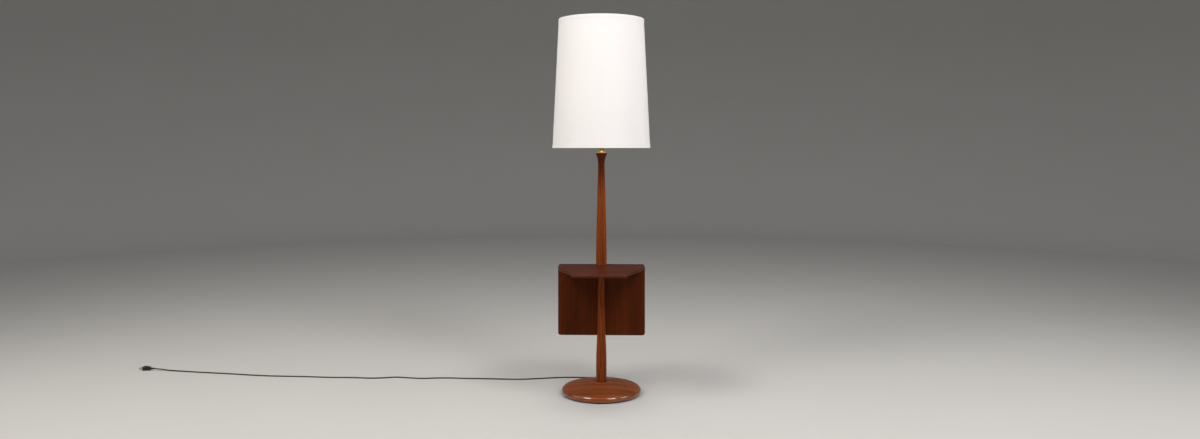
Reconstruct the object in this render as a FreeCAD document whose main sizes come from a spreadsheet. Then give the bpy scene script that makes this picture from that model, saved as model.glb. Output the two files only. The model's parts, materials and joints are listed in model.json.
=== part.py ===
"""A floor lamp with a board tray and a magazine rack, as separate pieces.

Millimetres. +Z is up, the tray points to -Y, and the origin is on the floor under the centre
of the base. The pipe that clamps the posts, the tray and the head stands on the Z axis.
"""
import FreeCAD, Part
import math
import os
import re
import Sketcher

V = FreeCAD.Vector

# Driving dimensions: each is written once, and every piece takes it from the sheet.
SIZES = [
    ("fit_gap", 0.3),                # between a turned wooden or felt piece and its seat
    ("slim_gap", 0.1),               # between thin metal pieces
    ("running_gap", 0.05),           # radial, between a shaft and the hole it turns in
    # base
    ("felt_thickness", 2.0),
    ("felt_inset", 4.0),
    ("base_radius", 157.0),
    ("base_foot_inset", 13.0),
    ("rim_height", 28.0),
    ("base_height", 47.0),
    ("boss_radius", 35.0),
    ("recess_radius", 96.0),
    ("recess_depth", 16.0),
    ("nut_recess_radius", 22.0),
    ("nut_recess_depth", 14.0),
    ("weight_thickness", 14.0),
    ("weight_slot", 13.0),
    ("weight_screw_circle", 62.0),
    ("weight_screws", 3),
    ("washer_radius", 15.0),
    ("washer_thickness", 2.0),
    ("nut_flats", 14.3),
    ("nut_height", 5.5),
    # lead and its way through the base
    ("lead_radius", 2.5),
    ("lead_exit_height", 12.0),
    ("lead_bend_radius", 12.0),
    ("bushing_radius", 4.6),
    ("bushing_flange_radius", 7.0),
    ("bushing_flange", 3.0),
    ("bushing_shank", 14.0),
    ("bushing_nose", 20.0),
    # pipe and posts
    ("pipe_radius", 5.0),
    ("pipe_bore", 3.3),
    ("pipe_tail", 9.0),
    ("tenon_radius", 13.0),
    ("tenon_length", 6.0),
    ("lower_post_height", 450.0),
    ("lower_foot_radius", 21.0),
    ("lower_belly_radius", 20.8),
    ("lower_waist_radius", 16.0),
    ("lower_top_radius", 14.0),
    ("upper_post_height", 442.0),
    ("upper_foot_radius", 20.9),
    ("upper_middle_radius", 16.3),
    ("upper_neck_radius", 12.6),
    ("flare_radius", 22.2),
    # tray
    ("tray_thickness", 9.0),
    ("tray_width", 345.0),
    ("tray_end_inset", 4.0),         # of the board's ends behind the panel's
    ("tray_depth", 332.0),
    ("tray_front_width", 203.0),
    ("tray_front_corner", 12.0),
    ("tray_back_corner", 6.0),
    ("board_edge", 2.6),
    # rack
    ("panel_face", 18.5),            # from the axis of the post to the panel's front
    ("panel_thickness", 9.5),
    ("panel_height", 273.0),
    ("panel_corner", 10.0),
    ("rack_lean", 10.0),             # degrees
    ("rack_floor_width", 52.0),
    ("rack_floor_height", 22.0),
    ("rack_floor_rise", 10.0),
    ("rack_floor_inset", 8.0),
    ("rack_groove", 3.0),
    ("back_thickness", 8.0),
    ("back_height", 252.0),
    ("back_corner", 22.0),
    ("rack_screw_pitch", 140.0),
    ("cleat_side", 13.0),
    ("cleat_inner", 23.0),
    ("cleat_outer", 152.0),
    ("cleat_screw_pitch", 80.0),
    ("spacer_radius", 8.0),
    ("post_screw_low", 40.0),        # above the panel's lower edge
    ("post_screw_pitch", 195.0),
    # wood screws
    ("screw_radius", 1.9),
    ("screw_head_radius", 3.9),
    ("screw_head_depth", 2.0),
    ("screw_tip", 4.0),
    ("screw_bite", 8.0),
    ("tray_screw_bite", 5.5),
    ("post_screw_tip_at", 7.0),      # from the axis, clear of the pipe
    # head
    ("ring_radius", 23.0),
    ("ring_height", 4.0),
    ("neck_radius", 9.6),
    ("neck_bore", 6.4),
    ("neck_collar_radius", 11.0),
    ("neck_collar_height", 3.4),
    ("neck_height", 123.0),
    ("saddle_thickness", 1.8),
    ("saddle_width", 15.0),
    ("saddle_flat", 15.0),
    ("leg_half_spacing", 30.0),
    ("saddle_rise", 14.0),
    ("saddle_shoulder", 20.0),
    ("saddle_lug_top", 28.0),
    ("saddle_lug_width", 5.0),
    ("sleeve_radius", 4.2),
    ("sleeve_bore", 2.95),
    ("sleeve_length", 16.0),
    ("sleeve_gap", 0.3),
    ("harp_wire_radius", 2.1),
    ("harp_leg_top", 62.0),
    ("harp_half_width", 62.0),
    ("harp_sweep_ratio", 0.19),       # of the side arcs to the square of their height
    ("harp_foot_radius", 60.0),
    ("harp_top_radius", 46.0),
    ("harp_height", 380.0),
    ("crown_radius", 6.0),
    ("crown_height", 7.0),
    # socket and bulb
    ("cap_height", 26.0),
    ("cap_radius", 17.0),
    ("cap_wall", 0.8),
    ("cap_hub_radius", 7.2),
    ("cap_hub_height", 7.0),
    ("shell_radius", 16.0),
    ("shell_wall", 0.6),
    ("shell_base", 20.0),
    ("shell_height", 46.0),
    ("liner_wall", 0.8),
    ("core_height", 22.0),
    ("core_base", 22.0),
    ("screw_shell_wall", 0.5),
    ("screw_shell_height", 20.0),
    ("contact_height", 2.2),
    ("terminal_radius", 3.0),
    ("terminal_height", 2.0),
    ("terminal_offset", 8.5),
    ("switch_height", 34.0),
    ("switch_shaft_radius", 2.4),
    ("switch_shaft_depth", 6.0),     # from the axis to the shaft's inner end
    ("knob_start", 22.0),            # from the axis to the knob's inner face
    ("knob_length", 20.0),
    ("knob_radius", 5.4),
    ("bulb_cap_radius", 12.9),
    ("bulb_cap_height", 22.0),
    ("bulb_tip_radius", 4.6),
    ("bulb_tip_height", 2.2),
    ("bulb_neck_radius", 13.4),
    ("bulb_radius", 30.0),
    ("bulb_glass_height", 86.0),
    ("bulb_wall", 1.0),
    # shade
    ("stud_flange_radius", 8.0),
    ("stud_flange", 2.0),
    ("stud_shaft_radius", 2.35),
    ("stud_head", 1.5),
    ("stud_head_radius", 4.2),
    ("stud_thread_radius", 3.1),
    ("stud_thread_length", 13.0),
    ("spider_washer_radius", 13.0),
    ("spider_washer", 1.6),
    ("spider_drop", 18.0),
    ("spider_arms", 3),
    ("spider_wire_radius", 1.7),
    ("spider_flat_length", 112.0),
    ("shade_wire_radius", 1.8),
    ("shade_height", 504.5),
    ("shade_bottom_radius", 192.4),
    ("shade_top_radius", 167.8),
    ("shade_skin", 1.2),
    ("trim_height", 12.0),
    ("trim_inside", 7.0),
    ("trim_thickness", 0.7),
    ("finial_radius", 7.5),
    ("finial_height", 27.0),
    # plug
    ("plug_from_mouth_x", -1971.0),
    ("plug_from_mouth_y", 134.0),
    ("plug_above_floor", 0.6),
    ("plug_heading", 177.0),         # degrees from +X, the way the blades point
    ("plug_length", 32.0),
    ("plug_width", 24.0),
    ("plug_tail_width", 14.0),
    ("plug_thickness", 16.0),
    ("plug_relief", 15.0),
    ("plug_relief_radius", 4.8),
    ("blade_length", 17.0),
    ("blade_width", 6.35),
    ("blade_thickness", 1.5),
    ("blade_spacing", 12.7),
]

# Heights, radii and places that follow from the driving dimensions.
PLACES = [
    ("disc_under", "felt_thickness"),
    ("recess_top", "disc_under + recess_depth"),
    ("nut_seat", "recess_top + nut_recess_depth"),
    ("pipe_bottom", "nut_seat - washer_thickness - pipe_tail"),
    ("bushing_flange_at", "base_radius - bushing_flange"),
    ("lead_exit_at", "base_radius + bushing_nose"),
    ("wood_bore", "pipe_radius + fit_gap"),
    ("tray_under", "base_height + lower_post_height"),
    ("tray_top", "tray_under + tray_thickness"),
    ("post_top", "tray_top + upper_post_height"),
    ("ring_top", "post_top + ring_height"),
    ("neck_top", "ring_top + neck_height"),
    ("cap_bottom", "neck_top + saddle_thickness"),
    ("pipe_top", "cap_bottom + cap_hub_height"),
    ("core_bottom", "cap_bottom + core_base"),
    ("core_top", "core_bottom + core_height"),
    ("shell_bottom", "cap_bottom + shell_base"),
    ("switch_z", "cap_bottom + switch_height"),
    ("liner_radius", "shell_radius - shell_wall - slim_gap"),
    ("core_radius", "liner_radius - liner_wall - slim_gap"),
    ("bulb_tip_z", "core_top + contact_height"),
    ("bulb_cap_z", "bulb_tip_z + bulb_tip_height"),
    ("bulb_glass_z", "bulb_cap_z + bulb_cap_height"),
    ("washer_seat", "neck_top + harp_height"),
    ("crown_z", "washer_seat - stud_flange - slim_gap - crown_height / 2"),
    ("bow_foot_z", "neck_top + saddle_lug_top"),
    ("bow_knee_z", "neck_top + harp_leg_top"),
    ("bow_rise", "crown_z - harp_top_radius - bow_knee_z"),
    ("bow_swell", "harp_half_width - leg_half_spacing"),
    ("bow_side_radius", "harp_sweep_ratio * bow_rise * bow_rise / bow_swell"),
    ("bow_out", "acos(1 - bow_swell / (bow_side_radius + harp_foot_radius))"),
    ("bow_side_x", "leg_half_spacing + harp_foot_radius * (1 - cos(bow_out))"),
    ("bow_side_z", "bow_knee_z + harp_foot_radius * sin(bow_out)"),
    ("bow_middle_z", "bow_side_z + bow_side_radius * sin(bow_out)"),
    ("bow_back", "asin((crown_z - harp_top_radius - bow_middle_z)"
     " / (bow_side_radius - harp_top_radius))"),
    ("bow_crown_x", "harp_half_width - bow_side_radius"
     " + (bow_side_radius - harp_top_radius) * cos(bow_back)"),
    ("bow_shoulder_x", "bow_crown_x + harp_top_radius * cos(bow_back)"),
    ("bow_shoulder_z", "crown_z - harp_top_radius * (1 - sin(bow_back))"),
    ("stud_top", "washer_seat + stud_thread_length"),
    ("finial_z", "washer_seat + spider_washer"),
    ("shade_top_z", "washer_seat + spider_drop"),
    ("shade_bottom_z", "shade_top_z - shade_height"),
    ("plug_x", "plug_from_mouth_x"),
    ("plug_y", "lead_exit_at + plug_from_mouth_y"),
    ("plug_z", "plug_above_floor + plug_thickness / 2"),
    ("panel_back", "panel_face + panel_thickness"),
    ("panel_bottom", "tray_under - panel_height"),
    ("rack_floor_bottom", "panel_bottom + rack_floor_rise"),
    ("rack_floor_top", "rack_floor_bottom + rack_floor_height"),
    ("back_hinge", "panel_back + rack_floor_width"),
    ("rack_screw_z", "rack_floor_rise + rack_floor_height / 2"),
    ("spacer_low_z", "panel_bottom + post_screw_low"),
    ("shade_slope", "(shade_bottom_radius - shade_top_radius) / shade_height"),
]

# The free lead from the bushing's mouth to the plug: x and y from the mouth, and which share of
# the mouth's height above the floor (first rows) or of the plug's (last rows) it still has.
FROM_MOUTH = [
    (0, 0, 1), (-1.5, 16, 0.915), (-8, 31, 0.426), (-22, 42, 0.043), (-45, 47, 0),
    (-95, 51.5, 0), (-150, 52, 0), (-206, 44, 0), (-266, 29, 0), (-330, 16, 0), (-392, 14, 0),
    (-452, 20, 0), (-512, 22.5, 0), (-572, 22, 0), (-632, 29, 0), (-692, 29, 0), (-754, 17, 0),
    (-814, 26, 0), (-868, 40, 0), (-922, 23, 0), (-980, 16, 0), (-1042, 27, 0), (-1106, 26, 0),
    (-1170, 27, 0), (-1236, 35, 0), (-1302, 39, 0), (-1370, 40.5, 0), (-1438, 46, 0),
    (-1506, 58, 0), (-1572, 71, 0), (-1636, 82.5, 0), (-1700, 92, 0), (-1762, 102.5, 0),
    (-1822, 113.5, 0),
]
TO_PLUG = [(-1880, 124, 0.067), (-1924, 130.8, 0.633), (-1956, 133.2, 1)]

doc = FreeCAD.newDocument("floor_lamp")
CELLS = {}


def bound(text):
    """An expression in sheet names, with each name led to its cell."""
    return re.sub(r"[a-z][a-z_0-9]*", lambda word: CELLS.get(word.group(), word.group()), str(text))


def fill_sheet(label, rows, as_text):
    """A sheet of named cells: the name in column A, its value or formula in column B."""
    sheet = doc.addObject("Spreadsheet::Sheet", label)
    for row, (name, value) in enumerate(rows, 1):
        sheet.set("A%d" % row, name)
        sheet.set("B%d" % row, as_text(value))
        sheet.setAlias("B%d" % row, name)
        CELLS[name] = "%s.%s" % (label, name)
    doc.recompute()
    return sheet


SHEET = fill_sheet("Sizes", SIZES, str)
fill_sheet("Places", PLACES, lambda formula: "=" + bound(formula))


def number(text):
    """What an expression is worth now."""
    result = SHEET.evalExpression(bound(text))
    return float(getattr(result, "Value", result))


# ---------------------------------------------------------------- sketches

def origin_feature(body, role):
    """One of a body's own origin planes or axes."""
    for feature in body.Origin.OriginFeatures:
        if feature.Role == role:
            return feature
    raise ValueError(role)


def new_body(label):
    """An empty body; groups of like pieces hold several solids."""
    body = doc.addObject("PartDesign::Body", label)
    body.Label = label
    body.AllowCompound = True
    return body


def new_sketch(body, name, role, at="0"):
    """A sketch on an origin plane, moved along +X, +Y or +Z to a place."""
    sketch = body.newObject("Sketcher::SketchObject", name)
    sketch.AttachmentSupport = [(origin_feature(body, role), "")]
    sketch.MapMode = "FlatFace"
    sign = "-" if role == "XZ_Plane" else ""
    sketch.setExpression(".AttachmentOffset.Base.z", "%s(%s)" % (sign, bound(at)))
    return sketch


def pin(sketch, geometry, end, point):
    """Hold a point of a sketch element at a pair of expressions."""
    for kind, text in zip(("DistanceX", "DistanceY"), point):
        rule = Sketcher.Constraint(kind, -1, 1, geometry, end, number(text))
        index = sketch.addConstraint(rule)
        sketch.setExpression("Constraints[%d]" % index, bound(text))


def as_vector(point):
    return V(number(point[0]), number(point[1]), 0)


def add_line(sketch, start, end):
    line = sketch.addGeometry(Part.LineSegment(as_vector(start), as_vector(end)), False)
    return line, 1, 2


def add_arc(sketch, start, end, radius, turn):
    """The short arc between two points; turn is 1 to the left and -1 to the right."""
    a, b = as_vector(start), as_vector(end)
    half = (b - a) * 0.5
    size = number(radius)
    rise = math.sqrt(max(size * size - half.Length ** 2, 0))
    normal = V(-half.y, half.x, 0).normalize()
    centre = a + half + normal * rise * turn
    first, last = (a, b) if turn > 0 else (b, a)
    angles = [math.atan2(p.y - centre.y, p.x - centre.x) for p in (first, last)]
    circle = Part.Circle(centre, V(0, 0, 1), size)
    arc = sketch.addGeometry(Part.ArcOfCircle(circle, angles[0], angles[1]), False)
    index = sketch.addConstraint(Sketcher.Constraint("Radius", arc, size))
    sketch.setExpression("Constraints[%d]" % index, bound(radius))
    return (arc, 1, 2) if turn > 0 else (arc, 2, 1)


def add_spline(sketch, poles):
    """A cubic B-spline whose inner poles are held by expressions."""
    curve = Part.BSplineCurve()
    curve.buildFromPoles([as_vector(pole) for pole in poles], False, 3)
    spline = sketch.addGeometry(curve, False)
    first_pole = sketch.GeometryCount
    sketch.exposeInternalGeometry(spline)
    for step, pole in enumerate(poles[1:-1], 1):
        pin(sketch, first_pole + step, 3, pole)
    return spline, 1, 2


def draw(sketch, start, steps, closed=True):
    """An outline or path. A step is a point, ("arc", point, radius, turn) or a list of poles."""
    edges, here = [], start
    for step in steps:
        if isinstance(step, list):
            edge, there = add_spline(sketch, [here] + step), step[-1]
        elif step[0] == "arc":
            edge, there = add_arc(sketch, here, step[1], step[2], step[3]), step[1]
        else:
            edge, there = add_line(sketch, here, step), step
        pin(sketch, edge[0], edge[1], here)
        edges.append(edge)
        here = there
    joints = list(zip(edges, edges[1:]))
    if closed:
        joints.append((edges[-1], edges[0]))
    else:
        pin(sketch, edges[-1][0], edges[-1][2], here)
    for before, after in joints:
        sketch.addConstraint(Sketcher.Constraint("Coincident", before[0], before[2], after[0], after[1]))


def add_circle(sketch, centre, radius):
    circle = sketch.addGeometry(Part.Circle(as_vector(centre), V(0, 0, 1), number(radius)), False)
    pin(sketch, circle, 3, centre)
    index = sketch.addConstraint(Sketcher.Constraint("Radius", circle, number(radius)))
    sketch.setExpression("Constraints[%d]" % index, bound(radius))


def rectangle(low, high):
    """The start and steps of an upright rectangle between two corners."""
    return low, [(high[0], low[1]), high, (low[0], high[1]), low]


# ---------------------------------------------------------------- features

def revolve(body, name, outline, kind="PartDesign::Revolution", role="XZ_Plane", axis="V_Axis"):
    """Turn an outline, drawn as (radius, height), about an axis of its sketch."""
    sketch = new_sketch(body, name + "_profile", role)
    draw(sketch, *outline)
    feature = body.newObject(kind, name)
    feature.Profile = sketch
    feature.ReferenceAxis = (sketch, [axis])
    feature.Angle = 360
    return feature


def turned(label, start, steps):
    """A body turned about Z from one outline."""
    body = new_body(label)
    revolve(body, label + "_turned", (start, steps))
    return body


def pad(body, name, role, at, length, draw_on):
    """Raise a sketch from a place on an axis, along that axis's positive way."""
    sketch = new_sketch(body, name + "_sketch", role, at)
    draw_on(sketch)
    feature = body.newObject("PartDesign::Pad", name)
    feature.Profile = sketch
    feature.Length = number(length)
    feature.setExpression("Length", bound(length))
    feature.Reversed = role == "XZ_Plane"
    return feature


def cut(body, name, role, at, length, draw_on):
    """Cut a sketch from a place on an axis, along that axis's positive way."""
    sketch = new_sketch(body, name + "_sketch", role, at)
    draw_on(sketch)
    feature = body.newObject("PartDesign::Pocket", name)
    feature.Profile = sketch
    feature.Length = number(length)
    feature.setExpression("Length", bound(length))
    feature.Reversed = role != "XZ_Plane"
    return feature


def circles(*places):
    """Circles, each given as (x, y, radius) on the sketch."""
    return lambda sketch: [add_circle(sketch, (x, y), radius) for x, y, radius in places]


def shape_of(*outline):
    return lambda sketch: draw(sketch, *outline)


def edges_where(feature, test):
    """Names of a feature's edges that pass a test."""
    doc.recompute()
    found = enumerate(feature.Shape.Edges, 1)
    names = ["Edge%d" % index for index, edge in found if test(edge)]
    if not names:
        raise ValueError("no edge found on " + feature.Name)
    return names


def round_edges(body, name, radius, test, kind="PartDesign::Fillet"):
    """Fillet or chamfer the edges of the body so far that pass a test."""
    base = body.Tip
    feature = body.newObject(kind, name)
    feature.Base = (base, edges_where(base, test))
    size = "Radius" if kind.endswith("Fillet") else "Size"
    setattr(feature, size, number(radius))
    feature.setExpression(size, bound(radius))
    return feature


def runs_along(direction):
    """A test for straight edges along a direction."""
    def test(edge):
        if not isinstance(edge.Curve, Part.Line):
            return False
        return abs(abs(edge.Curve.Direction.dot(direction)) - 1) < 1e-6
    return test


def lies_at(axis, *places):
    """A test for edges that lie wholly at one of some places on an axis."""
    def test(edge):
        low = getattr(edge.BoundBox, axis + "Min")
        high = getattr(edge.BoundBox, axis + "Max")
        return high - low < 1e-4 and any(abs(low - number(place)) < 1e-3 for place in places)
    return test


def copies(body, name, feature, role, length, count):
    """Repeat a feature along an axis of the body."""
    pattern = body.newObject("PartDesign::LinearPattern", name)
    pattern.Originals = [feature]
    pattern.Direction = (origin_feature(body, role), [""])
    pattern.Length = number(length)
    pattern.setExpression("Length", bound(length))
    pattern.Occurrences = count
    body.Tip = pattern
    return pattern


def round_about(body, name, features, count):
    """Repeat features about Z."""
    pattern = body.newObject("PartDesign::PolarPattern", name)
    pattern.Originals = features
    pattern.Axis = (origin_feature(body, "Z_Axis"), [""])
    pattern.Angle = 360
    pattern.Occurrences = int(number(count))
    pattern.setExpression("Occurrences", bound(count))
    body.Tip = pattern
    return pattern


def mirrored(body, name, features, role):
    """Mirror features in an origin plane of the body."""
    mirror = body.newObject("PartDesign::Mirrored", name)
    mirror.Originals = features
    mirror.MirrorPlane = (origin_feature(body, role), [""])
    body.Tip = mirror
    return mirror


def pipe_along(body, name, role, at, draw_path, radius):
    """A wire of round section along a sketched path that starts at a pair of expressions."""
    path = new_sketch(body, name + "_path", role)
    draw_path(path)
    section = new_sketch(body, name + "_section", at[0], at[1])
    add_circle(section, at[2], radius)
    feature = body.newObject("PartDesign::AdditivePipe", name)
    feature.Profile = section
    feature.Spine = path
    return feature


# ---------------------------------------------------------------- base

def base_disc():
    """A turned disc with a rounded rim, a low dome, and a boss under the post."""
    body = turned("base_disc", ("0", "disc_under"), [
        ("base_radius - base_foot_inset", "disc_under"),
        [("base_radius * 0.97", "disc_under + rim_height * 0.02"),
         ("base_radius", "disc_under + rim_height * 0.1"),
         ("base_radius", "rim_height * 0.5"),
         ("base_radius * 0.985", "rim_height * 0.72"),
         ("base_radius * 0.95", "rim_height * 0.9"),
         ("base_radius * 0.895", "rim_height * 1.02"),
         ("base_radius * 0.79", "rim_height + (base_height - rim_height) * 0.22"),
         ("base_radius * 0.6", "rim_height + (base_height - rim_height) * 0.47"),
         ("base_radius * 0.45", "rim_height + (base_height - rim_height) * 0.63"),
         ("boss_radius * 1.55", "rim_height + (base_height - rim_height) * 0.7"),
         ("boss_radius * 1.22", "rim_height + (base_height - rim_height) * 0.75"),
         ("boss_radius * 1.05", "rim_height + (base_height - rim_height) * 0.84"),
         ("boss_radius", "base_height")],
        ("0", "base_height"),
        ("0", "disc_under")])
    cut(body, "weight_recess", "XY_Plane", "disc_under", "recess_depth",
        circles(("0", "0", "recess_radius")))
    cut(body, "nut_recess", "XY_Plane", "recess_top", "nut_recess_depth",
        circles(("0", "0", "nut_recess_radius")))
    cut(body, "pipe_hole", "XY_Plane", "nut_seat", "base_height - nut_seat",
        circles(("0", "0", "wood_bore")))
    cut(body, "tenon_socket", "XY_Plane", "base_height - tenon_length - fit_gap",
        "tenon_length + fit_gap", circles(("0", "0", "tenon_radius + fit_gap")))
    cut(body, "lead_hole", "XZ_Plane", "recess_radius * 0.9", "base_radius - recess_radius * 0.9",
        circles(("0", "lead_exit_height", "bushing_radius + slim_gap")))
    cut(body, "bushing_seat", "XZ_Plane", "bushing_flange_at", "bushing_flange",
        circles(("0", "lead_exit_height", "bushing_flange_radius + fit_gap")))
    pilot = cut(body, "screw_pilot", "XY_Plane", "recess_top", "screw_bite + slim_gap",
                circles(("weight_screw_circle", "0", "screw_radius + slim_gap")))
    round_about(body, "screw_pilots", [pilot], "weight_screws")
    return body


def base_weight():
    """A cast ring with a slot to the rear for the lead and countersunk screw holes."""
    outer = "recess_radius - fit_gap * 3"
    bottom = "recess_top - weight_thickness"
    chamfer = "screw_head_radius - screw_radius"
    body = turned("base_weight", ("nut_recess_radius + fit_gap", bottom), [
        (outer + " - board_edge", bottom),
        (outer, bottom + " + board_edge"),
        (outer, "recess_top"),
        ("nut_recess_radius + fit_gap", "recess_top"),
        ("nut_recess_radius + fit_gap", bottom)])
    hole = cut(body, "screw_hole", "XY_Plane", bottom, "weight_thickness",
               circles(("weight_screw_circle", "0", "screw_radius + fit_gap")))
    round_about(body, "screw_holes", [hole], "weight_screws")
    holes = number("screw_radius + fit_gap")
    under = lies_at("Z", bottom)
    round_edges(body, "countersinks", chamfer, lambda edge: under(edge)
                and isinstance(edge.Curve, Part.Circle)
                and abs(edge.Curve.Radius - holes) < 1e-6, "PartDesign::Chamfer")
    cut(body, "lead_slot", "XZ_Plane", "0", "recess_radius", shape_of(*rectangle(
        ("-weight_slot / 2", bottom + " - fit_gap"), ("weight_slot / 2", "recess_top + fit_gap"))))
    return body


def screw_outline(head, tip, at="0", way="+"):
    """A countersunk wood screw in section about a line: head and tip are heights."""
    back = "-" if way == "+" else "+"
    return (at, head), [
        ("%s + screw_head_radius" % at, head),
        ("%s + screw_radius" % at, "%s %s screw_head_depth" % (head, way)),
        ("%s + screw_radius" % at, "%s %s screw_tip" % (tip, back)),
        (at, tip),
        (at, head)]


def weight_screws():
    """Screws from under the weight into the disc."""
    body = new_body("weight_screws")
    sketch = new_sketch(body, "screw_section", "XZ_Plane")
    start, steps = screw_outline("recess_top - weight_thickness + slim_gap",
                                 "recess_top + screw_bite", "weight_screw_circle")
    draw(sketch, start, steps)
    last_line = sketch.GeometryCount - 1
    screw = body.newObject("PartDesign::Revolution", "screw")
    screw.Profile = sketch
    screw.ReferenceAxis = (sketch, ["Edge%d" % (last_line + 1)])
    screw.Angle = 360
    round_about(body, "screws", [screw], "weight_screws")
    return body


def base_felt():
    """The felt disc that the lamp stands on, glued over the recess."""
    outer = "base_radius - base_foot_inset - felt_inset"
    return turned("base_felt", ("0", "0"), [
        (outer, "0"), (outer, "felt_thickness"), ("0", "felt_thickness"), ("0", "0")])


def base_washer():
    body = new_body("base_washer")
    pad(body, "washer", "XY_Plane", "nut_seat - washer_thickness", "washer_thickness",
        circles(("0", "0", "washer_radius"), ("0", "0", "pipe_radius + slim_gap")))
    return body


def base_nut():
    """A hexagon nut, its corners turned off by a cone."""
    body = new_body("base_nut")
    bottom = "nut_seat - washer_thickness - nut_height"
    corner = "(nut_flats / sqrt(3))"
    points = [("%s * cos(%d deg)" % (corner, angle), "%s * sin(%d deg)" % (corner, angle))
              for angle in range(0, 361, 60)]
    pad(body, "hexagon", "XY_Plane", bottom, "nut_height", shape_of(points[0], points[1:]))
    cut(body, "thread_hole", "XY_Plane", bottom, "nut_height",
        circles(("0", "0", "pipe_radius + slim_gap")))
    revolve(body, "turned_corners", (("nut_flats / 2", bottom), [
        ("nut_flats", bottom),
        ("nut_flats", bottom + " + nut_flats / 4"),
        ("nut_flats / 2", bottom)]), "PartDesign::Groove")
    return body


def cord_bushing():
    """A bushing with a flange in the rim and a tapered nose behind it, bored for the lead."""
    body = new_body("cord_bushing")
    bore = "lead_radius + slim_gap"
    sketch = new_sketch(body, "bushing_profile", "YZ_Plane")
    height = "lead_exit_height + "
    draw(sketch, ("bushing_flange_at - bushing_shank", height + bore), [
        ("bushing_flange_at - bushing_shank", height + "bushing_radius"),
        ("bushing_flange_at", height + "bushing_radius"),
        ("bushing_flange_at", height + "bushing_flange_radius"),
        ("bushing_flange_at + bushing_flange * 0.8", height + "bushing_flange_radius"),
        ("base_radius", height + "bushing_radius"),
        ("lead_exit_at", height + bore + " + slim_gap * 7"),
        ("lead_exit_at", height + bore),
        ("bushing_flange_at - bushing_shank", height + bore)])
    axis = sketch.addGeometry(Part.LineSegment(V(0, 0, 0), V(1, 0, 0)), True)
    pin(sketch, axis, 1, ("0", "lead_exit_height"))
    pin(sketch, axis, 2, ("base_radius", "lead_exit_height"))
    bushing = body.newObject("PartDesign::Revolution", "bushing")
    bushing.Profile = sketch
    bushing.ReferenceAxis = (sketch, ["Axis0"])
    bushing.Angle = 360
    return body


# ---------------------------------------------------------------- posts and pipe

def share(low, high, part):
    """A height at a part of the way between two others."""
    return "%s + (%s - %s) * %g" % (low, high, low, part)


def lower_post_poles(gap="0"):
    """The lower post's outline from foot to top, thickest near the base."""
    shape = [("lower_belly_radius", 0.99, 0.08), ("lower_belly_radius", 1, 0.22),
             ("lower_belly_radius", 0.9, 0.32), ("lower_waist_radius", 1, 0.44),
             ("lower_waist_radius", 0.935, 0.60), ("lower_top_radius", 1, 0.80),
             ("lower_top_radius", 1, 1)]
    return [("%s * %g + %s" % (radius, times, gap), share("base_height", "tray_under", part))
            for radius, times, part in shape]


def lower_post():
    body = turned("lower_post", ("0", "base_height - tenon_length"), [
        ("tenon_radius", "base_height - tenon_length"),
        ("tenon_radius", "base_height"),
        ("lower_foot_radius", "base_height"),
        lower_post_poles(),
        ("0", "tray_under"),
        ("0", "base_height - tenon_length")])
    cut(body, "pipe_hole", "XY_Plane", "base_height - tenon_length",
        "lower_post_height + tenon_length", circles(("0", "0", "wood_bore")))
    cut(body, "screw_pilots", "XZ_Plane", "0", "panel_face", circles(
        ("0", "spacer_low_z", "screw_radius + slim_gap"),
        ("0", "spacer_low_z + post_screw_pitch", "screw_radius + slim_gap")))
    return body


def upper_post():
    """Thick at the tray, thinnest near the top, flared under the ring."""
    shape = [("upper_foot_radius", 1, 0.13), ("upper_foot_radius", 0.945, 0.30),
             ("upper_middle_radius", 1.08, 0.46), ("upper_middle_radius", 1, 0.62),
             ("upper_middle_radius", 0.91, 0.745), ("upper_neck_radius", 1.06, 0.83),
             ("upper_neck_radius", 0.99, 0.885), ("upper_neck_radius", 1.03, 0.92),
             ("flare_radius", 0.7, 0.952), ("flare_radius", 0.84, 0.974),
             ("flare_radius", 1, 0.988), ("flare_radius", 1, 1)]
    curve = [("%s * %g" % (radius, times), share("tray_top", "post_top", part))
             for radius, times, part in shape]
    return turned("upper_post", ("wood_bore", "tray_top"), [
        ("upper_foot_radius", "tray_top"),
        curve,
        ("wood_bore", "post_top"),
        ("wood_bore", "tray_top")])


def lamp_pipe():
    """The pipe that clamps everything and carries the lead."""
    return turned("lamp_pipe", ("pipe_bore", "pipe_bottom"), [
        ("pipe_radius", "pipe_bottom"), ("pipe_radius", "pipe_top"),
        ("pipe_bore", "pipe_top"), ("pipe_bore", "pipe_bottom")])


def inner_lead():
    """The lead from the socket down the pipe, round one bend and out through the bushing."""
    body = new_body("inner_lead")

    def path(sketch):
        draw(sketch, ("0", "core_bottom"), [
            ("0", "lead_exit_height + lead_bend_radius"),
            ("arc", ("lead_bend_radius", "lead_exit_height"), "lead_bend_radius", 1),
            ("lead_exit_at", "lead_exit_height")], closed=False)

    pipe_along(body, "lead", "YZ_Plane", ("XY_Plane", "core_bottom", ("0", "0")), path, "lead_radius")
    return body


# ---------------------------------------------------------------- tray and rack

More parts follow.
